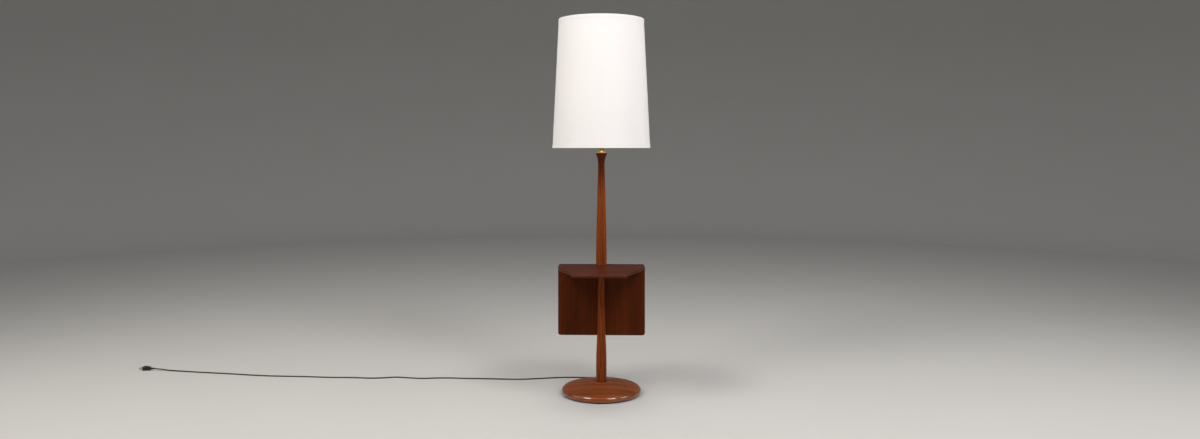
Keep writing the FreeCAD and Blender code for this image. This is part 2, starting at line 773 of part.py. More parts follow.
def tray():
    """A board with a straight back and sides that sweep in to a narrower front."""
    back, front = "panel_back", "panel_back - tray_depth"
    wide, narrow = "(tray_width / 2 - tray_end_inset)", "tray_front_width / 2"
    between = "%s + (%s - %s) * %g"
    side = [(wide, 0.0), (wide, 0.2), (between % (narrow, wide, narrow, 0.97), 0.38),
            (between % (narrow, wide, narrow, 0.50), 0.60),
            (between % (narrow, wide, narrow, 0.08), 0.79), (narrow, 0.90), (narrow, 1.0)]
    right = [(x, "%s - tray_depth * %g" % (back, part)) for x, part in side]
    left = [("-(%s)" % x, y) for x, y in reversed(right)]
    body = new_body("tray")
    pad(body, "board", "XY_Plane", "tray_under", "tray_thickness", shape_of(
        ("-" + wide, back), [(wide, back), right[1:], left[0], left[1:]]))
    upright = runs_along(V(0, 0, 1))

    def corner_at(place):
        return lambda edge: upright(edge) and abs(edge.BoundBox.YMin - number(place)) < 1e-3

    round_edges(body, "front_corners", "tray_front_corner", corner_at(front))
    round_edges(body, "back_corners", "tray_back_corner", corner_at(back))
    round_edges(body, "rounded_rim", "board_edge", lies_at("Z", "tray_under", "tray_top"))
    cut(body, "pipe_hole", "XY_Plane", "tray_under", "tray_thickness",
        circles(("0", "0", "wood_bore")))
    pilot = cut(body, "screw_pilot", "XY_Plane", "tray_under", "tray_screw_bite + slim_gap",
                circles(("-cleat_screw_pitch * 1.5", "panel_face - cleat_side / 2",
                         "screw_radius + slim_gap")))
    copies(body, "screw_pilots", pilot, "X_Axis", "cleat_screw_pitch * 3", 4)
    return body


def rack_front():
    """The upright panel behind the post, grooved at the back for the rack's floor."""
    body = new_body("rack_front")
    pad(body, "board", "XZ_Plane", "panel_face", "panel_thickness", shape_of(*rectangle(
        ("-tray_width / 2", "panel_bottom"), ("tray_width / 2", "tray_under"))))
    across = runs_along(V(0, 1, 0))
    low = number("panel_bottom")
    round_edges(body, "low_corners", "panel_corner",
                lambda edge: across(edge) and abs(edge.BoundBox.ZMin - low) < 1e-3)
    top = number("tray_under")
    on_faces = lies_at("Y", "panel_face", "panel_back")
    round_edges(body, "rounded_rim", "board_edge",
                lambda edge: on_faces(edge) and edge.BoundBox.ZMin < top - 1)
    cut(body, "floor_groove", "XZ_Plane", "panel_back - rack_groove - slim_gap",
        "rack_groove + slim_gap", shape_of(*rectangle(
            ("-tray_width / 2 + rack_floor_inset - fit_gap", "rack_floor_bottom - slim_gap"),
            ("tray_width / 2 - rack_floor_inset + fit_gap", "rack_floor_top + slim_gap"))))
    cut(body, "post_screw_holes", "XZ_Plane", "panel_face", "panel_thickness", circles(
        ("0", "spacer_low_z", "screw_radius + fit_gap"),
        ("0", "spacer_low_z + post_screw_pitch", "screw_radius + fit_gap")))
    rear = lies_at("Y", "panel_back")
    round_edges(body, "countersinks", "screw_head_radius - screw_radius",
                lambda edge: rear(edge) and isinstance(edge.Curve, Part.Circle)
                and edge.Closed, "PartDesign::Chamfer")
    cut(body, "cleat_pilots", "XZ_Plane", "panel_face", "tray_screw_bite + slim_gap", circles(
        ("-cleat_screw_pitch", "tray_under - cleat_side / 2", "screw_radius + slim_gap"),
        ("cleat_screw_pitch", "tray_under - cleat_side / 2", "screw_radius + slim_gap")))
    return body


def tray_cleats():
    """Two strips in the corner under the tray, chamfered on their open edge."""
    body = new_body("tray_cleats")
    near, low = "panel_face - cleat_side", "tray_under - cleat_side"
    section = ((near, "tray_under"), [
        (near, low + " + cleat_side * 0.45"),
        (near + " + cleat_side * 0.45", low),
        ("panel_face", low),
        ("panel_face", "tray_under"),
        (near, "tray_under")])
    strip = pad(body, "strip", "YZ_Plane", "cleat_inner", "cleat_outer - cleat_inner",
                shape_of(*section))
    mirrored(body, "strips", [strip], "YZ_Plane")
    cut(body, "upright_holes", "XY_Plane", low, "cleat_side", circles(*[
        ("cleat_screw_pitch * %g" % step, "panel_face - cleat_side / 2", "screw_radius + slim_gap")
        for step in (-1.5, -0.5, 0.5, 1.5)]))
    cut(body, "level_holes", "XZ_Plane", near, "cleat_side", circles(*[
        ("cleat_screw_pitch * %d" % step, "tray_under - cleat_side / 2",
         "screw_radius + slim_gap") for step in (-1, 1)]))
    return body


def cleat_screws():
    """Four screws up into the tray and two back into the panel."""
    body = new_body("cleat_screws")
    upright = screw_outline("tray_under - cleat_side - screw_head_depth",
                            "tray_under + tray_screw_bite")
    level = screw_outline("-(panel_face - cleat_side - screw_head_depth)",
                          "-(panel_face + tray_screw_bite)", "0", "-")
    for label, role, outline, spots, offset in (
            ("upright", "XZ_Plane", upright, (-1.5, -0.5, 0.5, 1.5), "panel_face - cleat_side / 2"),
            ("level", "XY_Plane", level, (-1, 1), "tray_under - cleat_side / 2")):
        for index, spot in enumerate(spots):
            centre = "cleat_screw_pitch * %g" % spot
            start, steps = outline
            sketch = new_sketch(body, "%s_section_%d" % (label, index), role, offset)
            flip = (lambda point: (centre + " + " + point[0],
                                   point[1] if role == "XZ_Plane" else "-(%s)" % point[1]))
            draw(sketch, flip(start), [flip(point) for point in steps])
            screw = body.newObject("PartDesign::Revolution", "%s_screw_%d" % (label, index))
            screw.Profile = sketch
            screw.ReferenceAxis = (sketch, ["Edge%d" % sketch.GeometryCount])
            screw.Angle = 360
    return body


def post_spacers():
    """Two blocks between panel and post, hollowed to the post's round."""
    body = new_body("post_spacers")
    low, high = "spacer_low_z", "spacer_low_z + post_screw_pitch"
    pad(body, "blocks", "XZ_Plane", "lower_top_radius / 2", "panel_face - lower_top_radius / 2",
        circles(("0", low, "spacer_radius"), ("0", high, "spacer_radius")))
    gap = "slim_gap"
    revolve(body, "hollow", (("0", "base_height"), [
        ("lower_foot_radius + " + gap, "base_height"),
        lower_post_poles(gap),
        ("0", "tray_under"),
        ("0", "base_height")]), "PartDesign::Groove")
    cut(body, "screw_holes", "XZ_Plane", "0", "panel_face", circles(
        ("0", low, "screw_radius + fit_gap"), ("0", high, "screw_radius + fit_gap")))
    return body


def post_screws():
    """Two screws from inside the rack through panel and spacer into the post."""
    body = new_body("post_screws")
    for index, height in enumerate(("spacer_low_z", "spacer_low_z + post_screw_pitch")):
        sketch = new_sketch(body, "screw_section_%d" % index, "XY_Plane", height)
        start, steps = screw_outline("panel_back - slim_gap", "post_screw_tip_at", "0", "-")
        draw(sketch, start, steps)
        screw = body.newObject("PartDesign::Revolution", "screw_%d" % index)
        screw.Profile = sketch
        screw.ReferenceAxis = (sketch, ["V_Axis"])
        screw.Angle = 360
    return body


def leaning(body):
    """Stand a body on the rack's hinge line and lean it back."""
    body.Placement = FreeCAD.Placement(V(0, 0, 0), FreeCAD.Rotation(V(1, 0, 0), -number("rack_lean")))
    body.setExpression(".Placement.Rotation.Angle", "-%s * 1 deg" % bound("rack_lean"))
    body.setExpression(".Placement.Base.y", bound("back_hinge"))
    body.setExpression(".Placement.Base.z", bound("panel_bottom"))
    return body


def leaned(y, z):
    """A point of the upright frame in the leaning one, as expressions."""
    lean = "(rack_lean * 1 deg)"
    out, up = "((%s) - back_hinge)" % y, "((%s) - panel_bottom)" % z
    return ("%s * cos%s - %s * sin%s" % (out, lean, up, lean),
            "%s * sin%s + %s * cos%s" % (out, lean, up, lean))


def rack_back():
    """The leaning second panel of the rack."""
    body = new_body("rack_back")
    pad(body, "board", "XZ_Plane", "0", "back_thickness", shape_of(*rectangle(
        ("-tray_width / 2", "0"), ("tray_width / 2", "back_height"))))
    across = runs_along(V(0, 1, 0))
    top = number("back_height")
    round_edges(body, "top_corners", "back_corner",
                lambda edge: across(edge) and abs(edge.BoundBox.ZMin - top) < 1e-3)
    round_edges(body, "low_corners", "panel_corner",
                lambda edge: across(edge) and abs(edge.BoundBox.ZMin) < 1e-3)
    round_edges(body, "rounded_rim", "board_edge", lies_at("Y", "0", "back_thickness"))
    hole = cut(body, "screw_hole", "XZ_Plane", "0", "back_thickness",
               circles(("-rack_screw_pitch", "rack_screw_z", "screw_radius + slim_gap")))
    copies(body, "screw_holes", hole, "X_Axis", "rack_screw_pitch * 2", 3)
    rear = lies_at("Y", "back_thickness")
    radius = number("screw_radius + slim_gap")
    round_edges(body, "countersinks", "screw_head_radius - screw_radius + slim_gap",
                lambda edge: rear(edge) and isinstance(edge.Curve, Part.Circle)
                and abs(edge.Curve.Radius - radius) < 1e-6, "PartDesign::Chamfer")
    return leaning(body)


def rack_floor():
    """The rail that magazines stand on, let into the panel and sloped to meet the back."""
    body = new_body("rack_floor")
    tongue = "panel_back - rack_groove"
    corners = [leaned(tongue, "rack_floor_bottom"), None, None, leaned(tongue, "rack_floor_top")]
    for index, height in ((1, "rack_floor_bottom"), (2, "rack_floor_top")):
        rise = "((%s) - panel_bottom)" % height
        corners[index] = leaned("back_hinge + %s * tan(rack_lean * 1 deg)" % rise, height)
    pad(body, "rail", "YZ_Plane", "-tray_width / 2 + rack_floor_inset",
        "tray_width - rack_floor_inset * 2", shape_of(corners[0], corners[1:] + corners[:1]))
    pilot = cut(body, "screw_pilot", "XZ_Plane", "-screw_bite * 2 - slim_gap",
                "screw_bite * 2 + slim_gap",
                circles(("-rack_screw_pitch", "rack_screw_z", "screw_radius + slim_gap")))
    copies(body, "screw_pilots", pilot, "X_Axis", "rack_screw_pitch * 2", 3)
    return leaning(body)


def rack_screws():
    """Three screws through the leaning panel into the rail."""
    body = new_body("rack_screws")
    sketch = new_sketch(body, "screw_section", "XY_Plane", "rack_screw_z")
    start, steps = screw_outline("back_thickness - slim_gap", "-screw_bite * 2",
                                 "-rack_screw_pitch", "-")
    draw(sketch, start, steps)
    screw = body.newObject("PartDesign::Revolution", "screw")
    screw.Profile = sketch
    screw.ReferenceAxis = (sketch, ["Edge%d" % sketch.GeometryCount])
    screw.Angle = 360
    copies(body, "screws", screw, "X_Axis", "rack_screw_pitch * 2", 3)
    return leaning(body)


# ---------------------------------------------------------------- head

def check_ring():
    """The brass ring on the flare: a rounded lip and a cove up to the neck."""
    return turned("check_ring", ("pipe_radius + slim_gap", "post_top"), [
        ("ring_radius * 0.93", "post_top"),
        [("ring_radius", "post_top"), ("ring_radius", "post_top + ring_height * 0.3"),
         ("ring_radius", "post_top + ring_height * 0.62"),
         ("ring_radius * 0.9", "post_top + ring_height * 0.66")],
        [("ring_radius * 0.7", "post_top + ring_height * 0.7"),
         ("neck_collar_radius * 1.1", "post_top + ring_height * 0.8"),
         ("neck_collar_radius * 1.05", "ring_top")],
        ("pipe_radius + slim_gap", "ring_top"),
        ("pipe_radius + slim_gap", "post_top")])


def neck_tube():
    """A brass tube with a moulded collar at each end."""
    collar, height = "neck_collar_radius", "neck_collar_height"
    return turned("neck_tube", ("neck_bore", "ring_top"), [
        (collar, "ring_top"),
        [(collar + " * 1.04", "ring_top + %s * 0.3" % height),
         (collar, "ring_top + %s * 0.7" % height),
         ("neck_radius * 1.03", "ring_top + %s * 0.8" % height),
         ("neck_radius", "ring_top + %s * 1.6" % height)],
        ("neck_radius", "neck_top - %s * 1.6" % height),
        [("neck_radius * 1.03", "neck_top - %s * 0.8" % height),
         (collar, "neck_top - %s * 0.7" % height),
         (collar + " * 1.04", "neck_top - %s * 0.3" % height),
         (collar, "neck_top")],
        ("pipe_radius + slim_gap", "neck_top"),
        ("pipe_radius + slim_gap", "neck_top - %s" % height),
        ("neck_bore", "neck_top - %s" % height),
        ("neck_bore", "ring_top")])


def harp_saddle():
    """A bent strip with two lugs for the sleeves, clamped under the socket."""
    body = new_body("harp_saddle")
    inner = "leg_half_spacing - saddle_thickness / 2"
    outer = "leg_half_spacing + saddle_thickness / 2"
    low, up = "neck_top", "neck_top + saddle_rise"
    lug = "neck_top + saddle_lug_top"
    right = [("saddle_flat", low), (outer, up), (outer, lug), (inner, lug),
             (inner, up + " + saddle_thickness / 2"), ("saddle_flat", "cap_bottom")]
    left = [("-(%s)" % x, z) for x, z in reversed(right)]
    pad(body, "strip", "XZ_Plane", "-saddle_width / 2", "saddle_width",
        shape_of(right[0], right[1:] + left + [right[0]]))
    shoulder = "neck_top + saddle_shoulder"
    for name, low_y, high_y in (("front_shoulders", "-saddle_width", "-saddle_lug_width / 2"),
                                ("rear_shoulders", "saddle_lug_width / 2", "saddle_width")):
        cut(body, name, "YZ_Plane", "-leg_half_spacing * 2", "leg_half_spacing * 4",
            shape_of(*rectangle((low_y, shoulder), (high_y, lug + " + saddle_thickness"))))
    cut(body, "pipe_hole", "XY_Plane", "neck_top", "saddle_thickness",
        circles(("0", "0", "pipe_radius + slim_gap")))
    along = runs_along(V(0, 1, 0))
    bends = number("neck_top + saddle_shoulder - slim_gap")
    round_edges(body, "bends", "saddle_thickness * 0.8",
                lambda edge: along(edge) and edge.BoundBox.ZMax < bends)
    return body


def harp_sleeve(label, side):
    """A sleeve over the lug and the end of the bow's leg."""
    body = new_body(label)
    bottom = "neck_top + saddle_shoulder + sleeve_gap"
    centre = "%s * leg_half_spacing" % side
    pad(body, "tube", "XY_Plane", bottom, "sleeve_length",
        circles((centre, "0", "sleeve_radius"), (centre, "0", "sleeve_bore")))
    outer = number("sleeve_radius")
    round_edges(body, "soft_ends", "(sleeve_radius - sleeve_bore) / 2", lambda edge: isinstance(
        edge.Curve, Part.Circle) and abs(edge.Curve.Radius - outer) < 1e-6)
    return body


def harp_bow():
    """The wire bow: two straight feet, swelling sides, a round top and a pierced crown."""
    body = new_body("harp_bow")

    def path(sketch):
        draw(sketch, ("leg_half_spacing", "bow_foot_z"), [
            ("leg_half_spacing", "bow_knee_z"),
            ("arc", ("bow_side_x", "bow_side_z"), "harp_foot_radius", -1),
            ("arc", ("bow_shoulder_x", "bow_shoulder_z"), "bow_side_radius", 1),
            ("arc", ("bow_crown_x", "crown_z"), "harp_top_radius", 1),
            ("0", "crown_z")], closed=False)

    half = pipe_along(body, "half_bow", "XZ_Plane", ("XY_Plane", "bow_foot_z", ("leg_half_spacing", "0")),
                      path, "harp_wire_radius")
    mirrored(body, "bow", [half], "YZ_Plane")
    pad(body, "crown", "XY_Plane", "crown_z - crown_height / 2", "crown_height",
        circles(("0", "0", "crown_radius")))
    cut(body, "stud_hole", "XY_Plane", "crown_z - crown_height", "crown_height * 2",
        circles(("0", "0", "stud_shaft_radius + running_gap")))
    return body


# ---------------------------------------------------------------- socket and bulb

def socket_cap():
    """The cup that screws on the pipe: a hub and a flared bowl of thin sheet."""
    rim, hub = "cap_radius", "cap_hub_radius"
    top = "cap_bottom + cap_height"
    return turned("socket_cap", ("pipe_radius + slim_gap", "cap_bottom"), [
        (hub, "cap_bottom"),
        [(hub, "cap_bottom + cap_hub_height"), (rim + " * 0.7", "cap_bottom + cap_hub_height"),
         (rim, "cap_bottom + cap_height * 0.42"), (rim, "cap_bottom + cap_height * 0.72")],
        (rim, top),
        (rim + " - cap_wall", top),
        (rim + " - cap_wall", "cap_bottom + cap_height * 0.72"),
        [(rim + " - cap_wall", "cap_bottom + cap_height * 0.44"),
         (rim + " * 0.66", "cap_bottom + cap_hub_height + cap_wall"),
         (hub, "cap_bottom + cap_hub_height + cap_wall")],
        ("pipe_radius + slim_gap", "cap_bottom + cap_hub_height + cap_wall"),
        ("pipe_radius + slim_gap", "cap_bottom")])


def switch_hole(body, at, length):
    """The hole in the front wall for the switch shaft."""
    return cut(body, "switch_hole", "XZ_Plane", at, length,
               circles(("0", "switch_z", "switch_shaft_radius + slim_gap * 6")))


def socket_shell():
    body = turned("socket_shell", ("shell_radius - shell_wall", "shell_bottom"), [
        ("shell_radius", "shell_bottom"),
        ("shell_radius", "shell_bottom + shell_height * 0.52"),
        [("shell_radius + shell_wall", "shell_bottom + shell_height * 0.53"),
         ("shell_radius + shell_wall", "shell_bottom + shell_height * 0.57"),
         ("shell_radius", "shell_bottom + shell_height * 0.58")],
        ("shell_radius", "shell_bottom + shell_height - shell_wall * 3"),
        ("shell_radius + shell_wall", "shell_bottom + shell_height"),
        ("shell_radius", "shell_bottom + shell_height"),
        ("shell_radius - shell_wall", "shell_bottom + shell_height - shell_wall * 3"),
        ("shell_radius - shell_wall", "shell_bottom")])
    switch_hole(body, "-shell_radius * 1.2", "shell_radius")
    return body


def socket_liner():
    top = "shell_bottom + shell_height - liner_wall * 3"
    body = turned("socket_liner", ("liner_radius - liner_wall", "core_bottom"), [
        ("liner_radius", "core_bottom"), ("liner_radius", top),
        ("liner_radius - liner_wall", top), ("liner_radius - liner_wall", "core_bottom")])
    switch_hole(body, "-liner_radius * 1.2", "liner_radius")
    return body


def socket_core():
    """The moulded insulator, bored from the front for the switch shaft."""
    body = turned("socket_core", ("0", "core_bottom"), [
        ("core_radius - liner_wall", "core_bottom"),
        ("core_radius", "core_bottom + liner_wall"),
        ("core_radius", "core_top"),
        ("0", "core_top"),
        ("0", "core_bottom")])
    cut(body, "shaft_hole", "XZ_Plane", "-core_radius * 1.2",
        "core_radius * 1.2 - switch_shaft_depth + fit_gap",
        circles(("0", "switch_z", "switch_shaft_radius + running_gap")))
    return body


def screw_shell():
    """The threaded cup that the bulb turns into, with its turned-in foot."""
    outer, top = "core_radius", "core_top + screw_shell_height"
    return turned("screw_shell", (outer + " * 0.55", "core_top"), [
        (outer, "core_top"),
        (outer, top),
        (outer + " - screw_shell_wall", top),
        (outer + " - screw_shell_wall", "core_top + screw_shell_wall"),
        (outer + " * 0.55", "core_top + screw_shell_wall"),
        (outer + " * 0.55", "core_top")])


def centre_contact():
    """A tongue bent up under the bulb's tip."""
    body = new_body("centre_contact")
    thick = "contact_height * 0.3"
    half = "bulb_tip_radius"
    pad(body, "tongue", "XZ_Plane", "-bulb_tip_radius / 2", "bulb_tip_radius", shape_of(
        ("-" + half, "core_top"), [
            (half, "core_top"), (half, "core_top + " + thick),
            ("-%s * 0.3" % half, "core_top + " + thick),
            ("%s * 0.2" % half, "bulb_tip_z - %s" % thick),
            (half, "bulb_tip_z - %s" % thick), (half, "bulb_tip_z"),
            ("0", "bulb_tip_z"),
            ("-" + half, "core_top + " + thick),
            ("-" + half, "core_top")]))
    return body


def terminal_screws():
    """Two slotted screw heads under the core."""
    body = new_body("terminal_screws")
    bottom = "core_bottom - terminal_height"
    pad(body, "heads", "XY_Plane", bottom, "terminal_height", circles(
        ("-terminal_offset", "0", "terminal_radius"), ("terminal_offset", "0", "terminal_radius")))
    slot = "terminal_radius * 0.15"
    cut(body, "slots", "XY_Plane", bottom, "terminal_height * 0.4", shape_of(*rectangle(
        ("-terminal_offset * 2", "-" + slot), ("terminal_offset * 2", slot))))
    return body


def switch_shaft():
    """The shaft from the core to the knob, along -Y."""
    body = new_body("switch_shaft")
    pad(body, "shaft", "XZ_Plane", "-(knob_start + knob_length / 2)",
        "knob_start + knob_length / 2 - switch_shaft_depth",
        circles(("0", "switch_z", "switch_shaft_radius")))
    return body


def switch_knob():
    """A small waisted knob, ribbed for the fingers."""
    body = new_body("switch_knob")
    sketch = new_sketch(body, "knob_profile", "YZ_Plane")
    near, far = "-knob_start", "-(knob_start + knob_length)"
    bore = "switch_shaft_radius + slim_gap / 2"
    end = "-(knob_start + knob_length / 2 + slim_gap)"
    height = "switch_z + "
    draw(sketch, (near, height + bore), [
        (near, height + "knob_radius * 0.72"),
        [("%s - knob_length * 0.2" % near, height + "knob_radius * 0.62"),
         ("%s - knob_length * 0.4" % near, height + "knob_radius * 0.75"),
         ("%s - knob_length * 0.6" % near, height + "knob_radius"),
         ("%s - knob_length * 0.86" % near, height + "knob_radius")],
        [("%s - knob_length * 0.97" % near, height + "knob_radius"),
         (far, height + "knob_radius * 0.6"), (far, height + "0")],
        (end, height + "0"),
        (end, height + bore),
        (near, height + bore)])
    axis = sketch.addGeometry(Part.LineSegment(V(0, 0, 0), V(1, 0, 0)), True)
    pin(sketch, axis, 1, ("0", "switch_z"))
    pin(sketch, axis, 2, ("-knob_length", "switch_z"))
    knob = body.newObject("PartDesign::Revolution", "knob")
    knob.Profile = sketch
    knob.ReferenceAxis = (sketch, ["Axis0"])
    knob.Angle = 360
    return body


def bulb():
    """Glass, metal cap with its insulator, and tip."""
    cap, tip, neck = "bulb_cap_radius", "bulb_tip_radius", "bulb_neck_radius"
    turned("bulb_tip", ("0", "bulb_tip_z"), [
        (tip + " * 0.6", "bulb_tip_z"), (tip, "bulb_cap_z"), ("0", "bulb_cap_z"),
        ("0", "bulb_tip_z")])
    turned("bulb_cap", ("0", "bulb_cap_z"), [
        (tip * 1, "bulb_cap_z"),
        (cap, "bulb_cap_z + bulb_tip_height"),
        (cap, "bulb_glass_z"),
        ("0", "bulb_glass_z"),
        ("0", "bulb_cap_z")])
    top = "bulb_glass_z + bulb_glass_height"
    outer = [(neck, 0.22), ("bulb_radius * 1.04", 0.34), ("bulb_radius * 1.06", 0.72),
             ("bulb_radius * 0.86", 1.0), ("0", 1.0)]
    def side(inset):
        return [("%s - %s" % (r, inset) if r != "0" else "0",
                 "bulb_glass_z + bulb_glass_height * %g - %s" % (part, inset))
                for r, part in outer]
    inside = list(reversed(side("bulb_wall")))
    turned("bulb_glass", (neck, "bulb_glass_z"), [
        side("0"),
        inside[0],
        inside[1:] + [(neck + " - bulb_wall", "bulb_glass_z")],
        (neck, "bulb_glass_z")])
    return top


# ---------------------------------------------------------------- shade

def swivel_stud():
    """Riveted through the bow's crown; its flange carries the shade."""
    crown_top = "washer_seat - stud_flange"
    crown_under = "crown_z - crown_height / 2 - slim_gap"
    return turned("swivel_stud", ("0", crown_under + " - stud_head"), [
        ("stud_head_radius * 0.7", crown_under + " - stud_head"),
        ("stud_head_radius", crown_under),
        ("stud_shaft_radius", crown_under),
        ("stud_shaft_radius", crown_top),
        ("stud_flange_radius", crown_top),
        ("stud_flange_radius", "washer_seat"),
        ("stud_thread_radius", "washer_seat"),
        ("stud_thread_radius", "stud_top"),
        ("0", "stud_top"),
        ("0", crown_under + " - stud_head")])


def finial():
    """A turned brass finial, threaded on the stud."""
    ball = "finial_radius"
    low, high = "finial_z", "finial_z + finial_height"
    return turned("finial", ("stud_thread_radius + slim_gap", low), [
        (ball, low),
        [(ball + " * 1.05", share(low, high, 0.06)), (ball + " * 0.95", share(low, high, 0.14)),
         (ball + " * 0.5", share(low, high, 0.2)), (ball + " * 0.5", share(low, high, 0.3))],
        [(ball + " * 0.5", share(low, high, 0.38)), (ball + " * 1.05", share(low, high, 0.42)),
         (ball + " * 1.1", share(low, high, 0.72)), (ball + " * 0.75", high),
         ("0", high)],
        ("0", "stud_top + slim_gap"),
        ("stud_thread_radius + slim_gap", "stud_top + slim_gap"),
        ("stud_thread_radius + slim_gap", low)])


def skin_radius(drop):
    """The outer radius of the shade's skin at a depth below its top."""
    return "(shade_top_radius + (%s) * shade_slope)" % drop


def shade_skin():
    """The stiffened cloth of the shade, open above and below."""
    inside = " - shade_skin"
    return turned("shade_skin", ("shade_top_radius", "shade_top_z"), [
        ("shade_top_radius" + inside, "shade_top_z"),
        ("shade_bottom_radius" + inside, "shade_bottom_z"),
        ("shade_bottom_radius", "shade_bottom_z"),
        ("shade_top_radius", "shade_top_z")])


def shade_trim(label, edge, way):
    """Cloth tape folded over an edge of the skin: edge is its height, way points inwards."""
    depth_at = "shade_top_z - (%s)"
    def at(height, side):
        return (skin_radius(depth_at % height) + side, height)
    out = " + slim_gap"
    inn = " - shade_skin - slim_gap"
    tape = "trim_thickness"
    back = "-" if way == "+" else "+"
    lip = "%s %s slim_gap" % (edge, back)
    over = "%s %s slim_gap %s %s" % (edge, back, back, tape)
    outer_end = "%s %s trim_height" % (edge, way)
    inner_end = "%s %s trim_inside" % (edge, way)
    return turned(label, at(outer_end, out), [
        at(outer_end, out + " + " + tape),
        at(over, out + " + " + tape),
        at(over, inn + " - " + tape),
        at(inner_end, inn + " - " + tape),
        at(inner_end, inn),
        at(lip, inn),
        at(lip, out),
        at(outer_end, out)])


def wire_ring(body, name, depth):
    """A wire hoop inside the skin at a depth below its top, its centre on the XZ plane."""
    inside = " - shade_skin - trim_thickness - slim_gap * 2 - shade_wire_radius"
    centre = (skin_radius(depth) + inside, "shade_top_z - (%s)" % depth)
    sketch = new_sketch(body, name + "_section", "XZ_Plane")
    add_circle(sketch, centre, "shade_wire_radius")
    hoop = body.newObject("PartDesign::Revolution", name)
    hoop.Profile = sketch
    hoop.ReferenceAxis = (sketch, ["V_Axis"])
    hoop.Angle = 360
    return centre


def shade_top_wire():
    """The top hoop with three arms down to a washer on the stud."""
    body = new_body("shade_top_wire")
    pad(body, "washer", "XY_Plane", "washer_seat", "spider_washer", circles(
        ("0", "0", "spider_washer_radius"), ("0", "0", "stud_thread_radius + fit_gap")))
    hoop = wire_ring(body, "top_hoop", "shade_wire_radius * 1.6")
    level = "washer_seat + spider_washer / 2"
    start, bend = "spider_washer_radius * 0.7", "spider_flat_length"

    def path(sketch):
        draw(sketch, (start, level), [(bend, level), hoop], closed=False)

    arm = pipe_along(body, "arm", "XZ_Plane", ("YZ_Plane", start, ("0", level)), path,
                     "spider_wire_radius")
    arm.Transition = "Right corner"
    round_about(body, "arms", [arm], "spider_arms")
    body.Placement = FreeCAD.Placement(V(0, 0, 0), FreeCAD.Rotation(V(0, 0, 1), 90))
    return body


def shade_bottom_wire():
    body = new_body("shade_bottom_wire")
    wire_ring(body, "bottom_hoop", "shade_height - shade_wire_radius * 1.6")
    return body


# ---------------------------------------------------------------- free lead and plug

def cord_path(points):
    """Straight runs joined by the largest tangent arcs that the runs allow."""
    edges, here, radii = [], points[0], []
    for before, corner, after in zip(points, points[1:], points[2:]):
        arriving, leaving = (corner - before), (after - corner)
        turn = arriving.getAngle(leaving)
        room = 0.45 * min(arriving.Length, leaving.Length)
        radii.append(room / math.tan(turn / 2))
        arriving.normalize()
        leaving.normalize()
        start, end = corner - arriving * room, corner + leaving * room
        middle = (start + end) * 0.5
        toward = (corner - middle)
        bulge = radii[-1] * (1 - math.cos(turn / 2))
        middle = middle + toward.normalize() * bulge
        edges.append(Part.LineSegment(here, start).toShape())
        edges.append(Part.Arc(start, middle, end).toShape())
        here = end
    edges.append(Part.LineSegment(here, points[-1]).toShape())
    print("cord radii", " ".join("%.0f" % radius for radius in radii))
    return Part.Wire(edges)


def cord_route():
    """The route's points, lying on the floor between the two ends that are held up."""
    mouth, low = number("lead_exit_at"), number("lead_radius + slim_gap")
    ends = [(FROM_MOUTH, number("lead_exit_height")), (TO_PLUG, number("plug_z"))]
    return [V(x, mouth + y, low + share * (height - low))
            for rows, height in ends for x, y, share in rows]


def power_cord():
    """The free lead: a round tube along its route on the floor."""
    route = cord_route()
    path = cord_path(route)
    radius = number("lead_radius")
    start = route[0]
    heading = route[1] - start
    section = Part.Wire([Part.Circle(start, heading, radius).toShape()])
    solid = path.makePipeShell([section], True, False)
    expected = math.pi * radius ** 2 * path.Length
    print("cord length %.1f volume ratio %.5f" % (path.Length, solid.Volume / expected))
    if abs(solid.Volume / expected - 1) > 0.01:
        raise ValueError("the cord's volume is not its section times its length")
    cord = doc.addObject("Part::Feature", "power_cord")
    cord.Label = "power_cord"
    cord.Shape = solid
    cord.Placement = FreeCAD.Placement()
    return cord


def at_plug(body):
    """Lay a body at the cord's far end; its local +X runs from the cord to the blades."""
    body.Placement = FreeCAD.Placement(V(0, 0, 0), FreeCAD.Rotation(V(0, 0, 1), number("plug_heading")))
    body.setExpression(".Placement.Rotation.Angle", "%s * 1 deg" % bound("plug_heading"))
    for axis in "xyz":
        body.setExpression(".Placement.Base." + axis, bound("plug_" + axis))
    return body


def plug_body():
    """A moulded two-blade plug with waisted sides and a tapered relief."""
    body = new_body("plug_body")
    half, tail = "plug_width / 2", "plug_tail_width / 2"
    side = [("0", tail), ("plug_length * 0.2", tail), ("plug_length * 0.35", tail + " * 0.8"),
            ("plug_length * 0.6", half), ("plug_length * 0.85", half), ("plug_length", half)]
    left = side[1:]
    right = [(x, "-(%s)" % y) for x, y in reversed(side)]
    pad(body, "grip", "XY_Plane", "-plug_thickness / 2", "plug_thickness",
        shape_of(side[0], [left, right[0], right[1:], side[0]]))
    upright = runs_along(V(0, 0, 1))
    round_edges(body, "soft_corners", "plug_tail_width / 4", upright)
    top = number("plug_thickness / 2")
    round_edges(body, "soft_rims", "plug_thickness * 0.14",
                lambda edge: abs(abs(edge.BoundBox.ZMin) - top) < 1e-2
                and abs(edge.BoundBox.ZLength) < 1e-2)
    revolve(body, "relief", (("-plug_relief", "0"), [
        ("-plug_relief", "lead_radius + slim_gap * 8"),
        ("plug_length * 0.1", "plug_relief_radius"),
        ("plug_length * 0.1", "0"),
        ("-plug_relief", "0")]), axis="H_Axis")
    return at_plug(body)


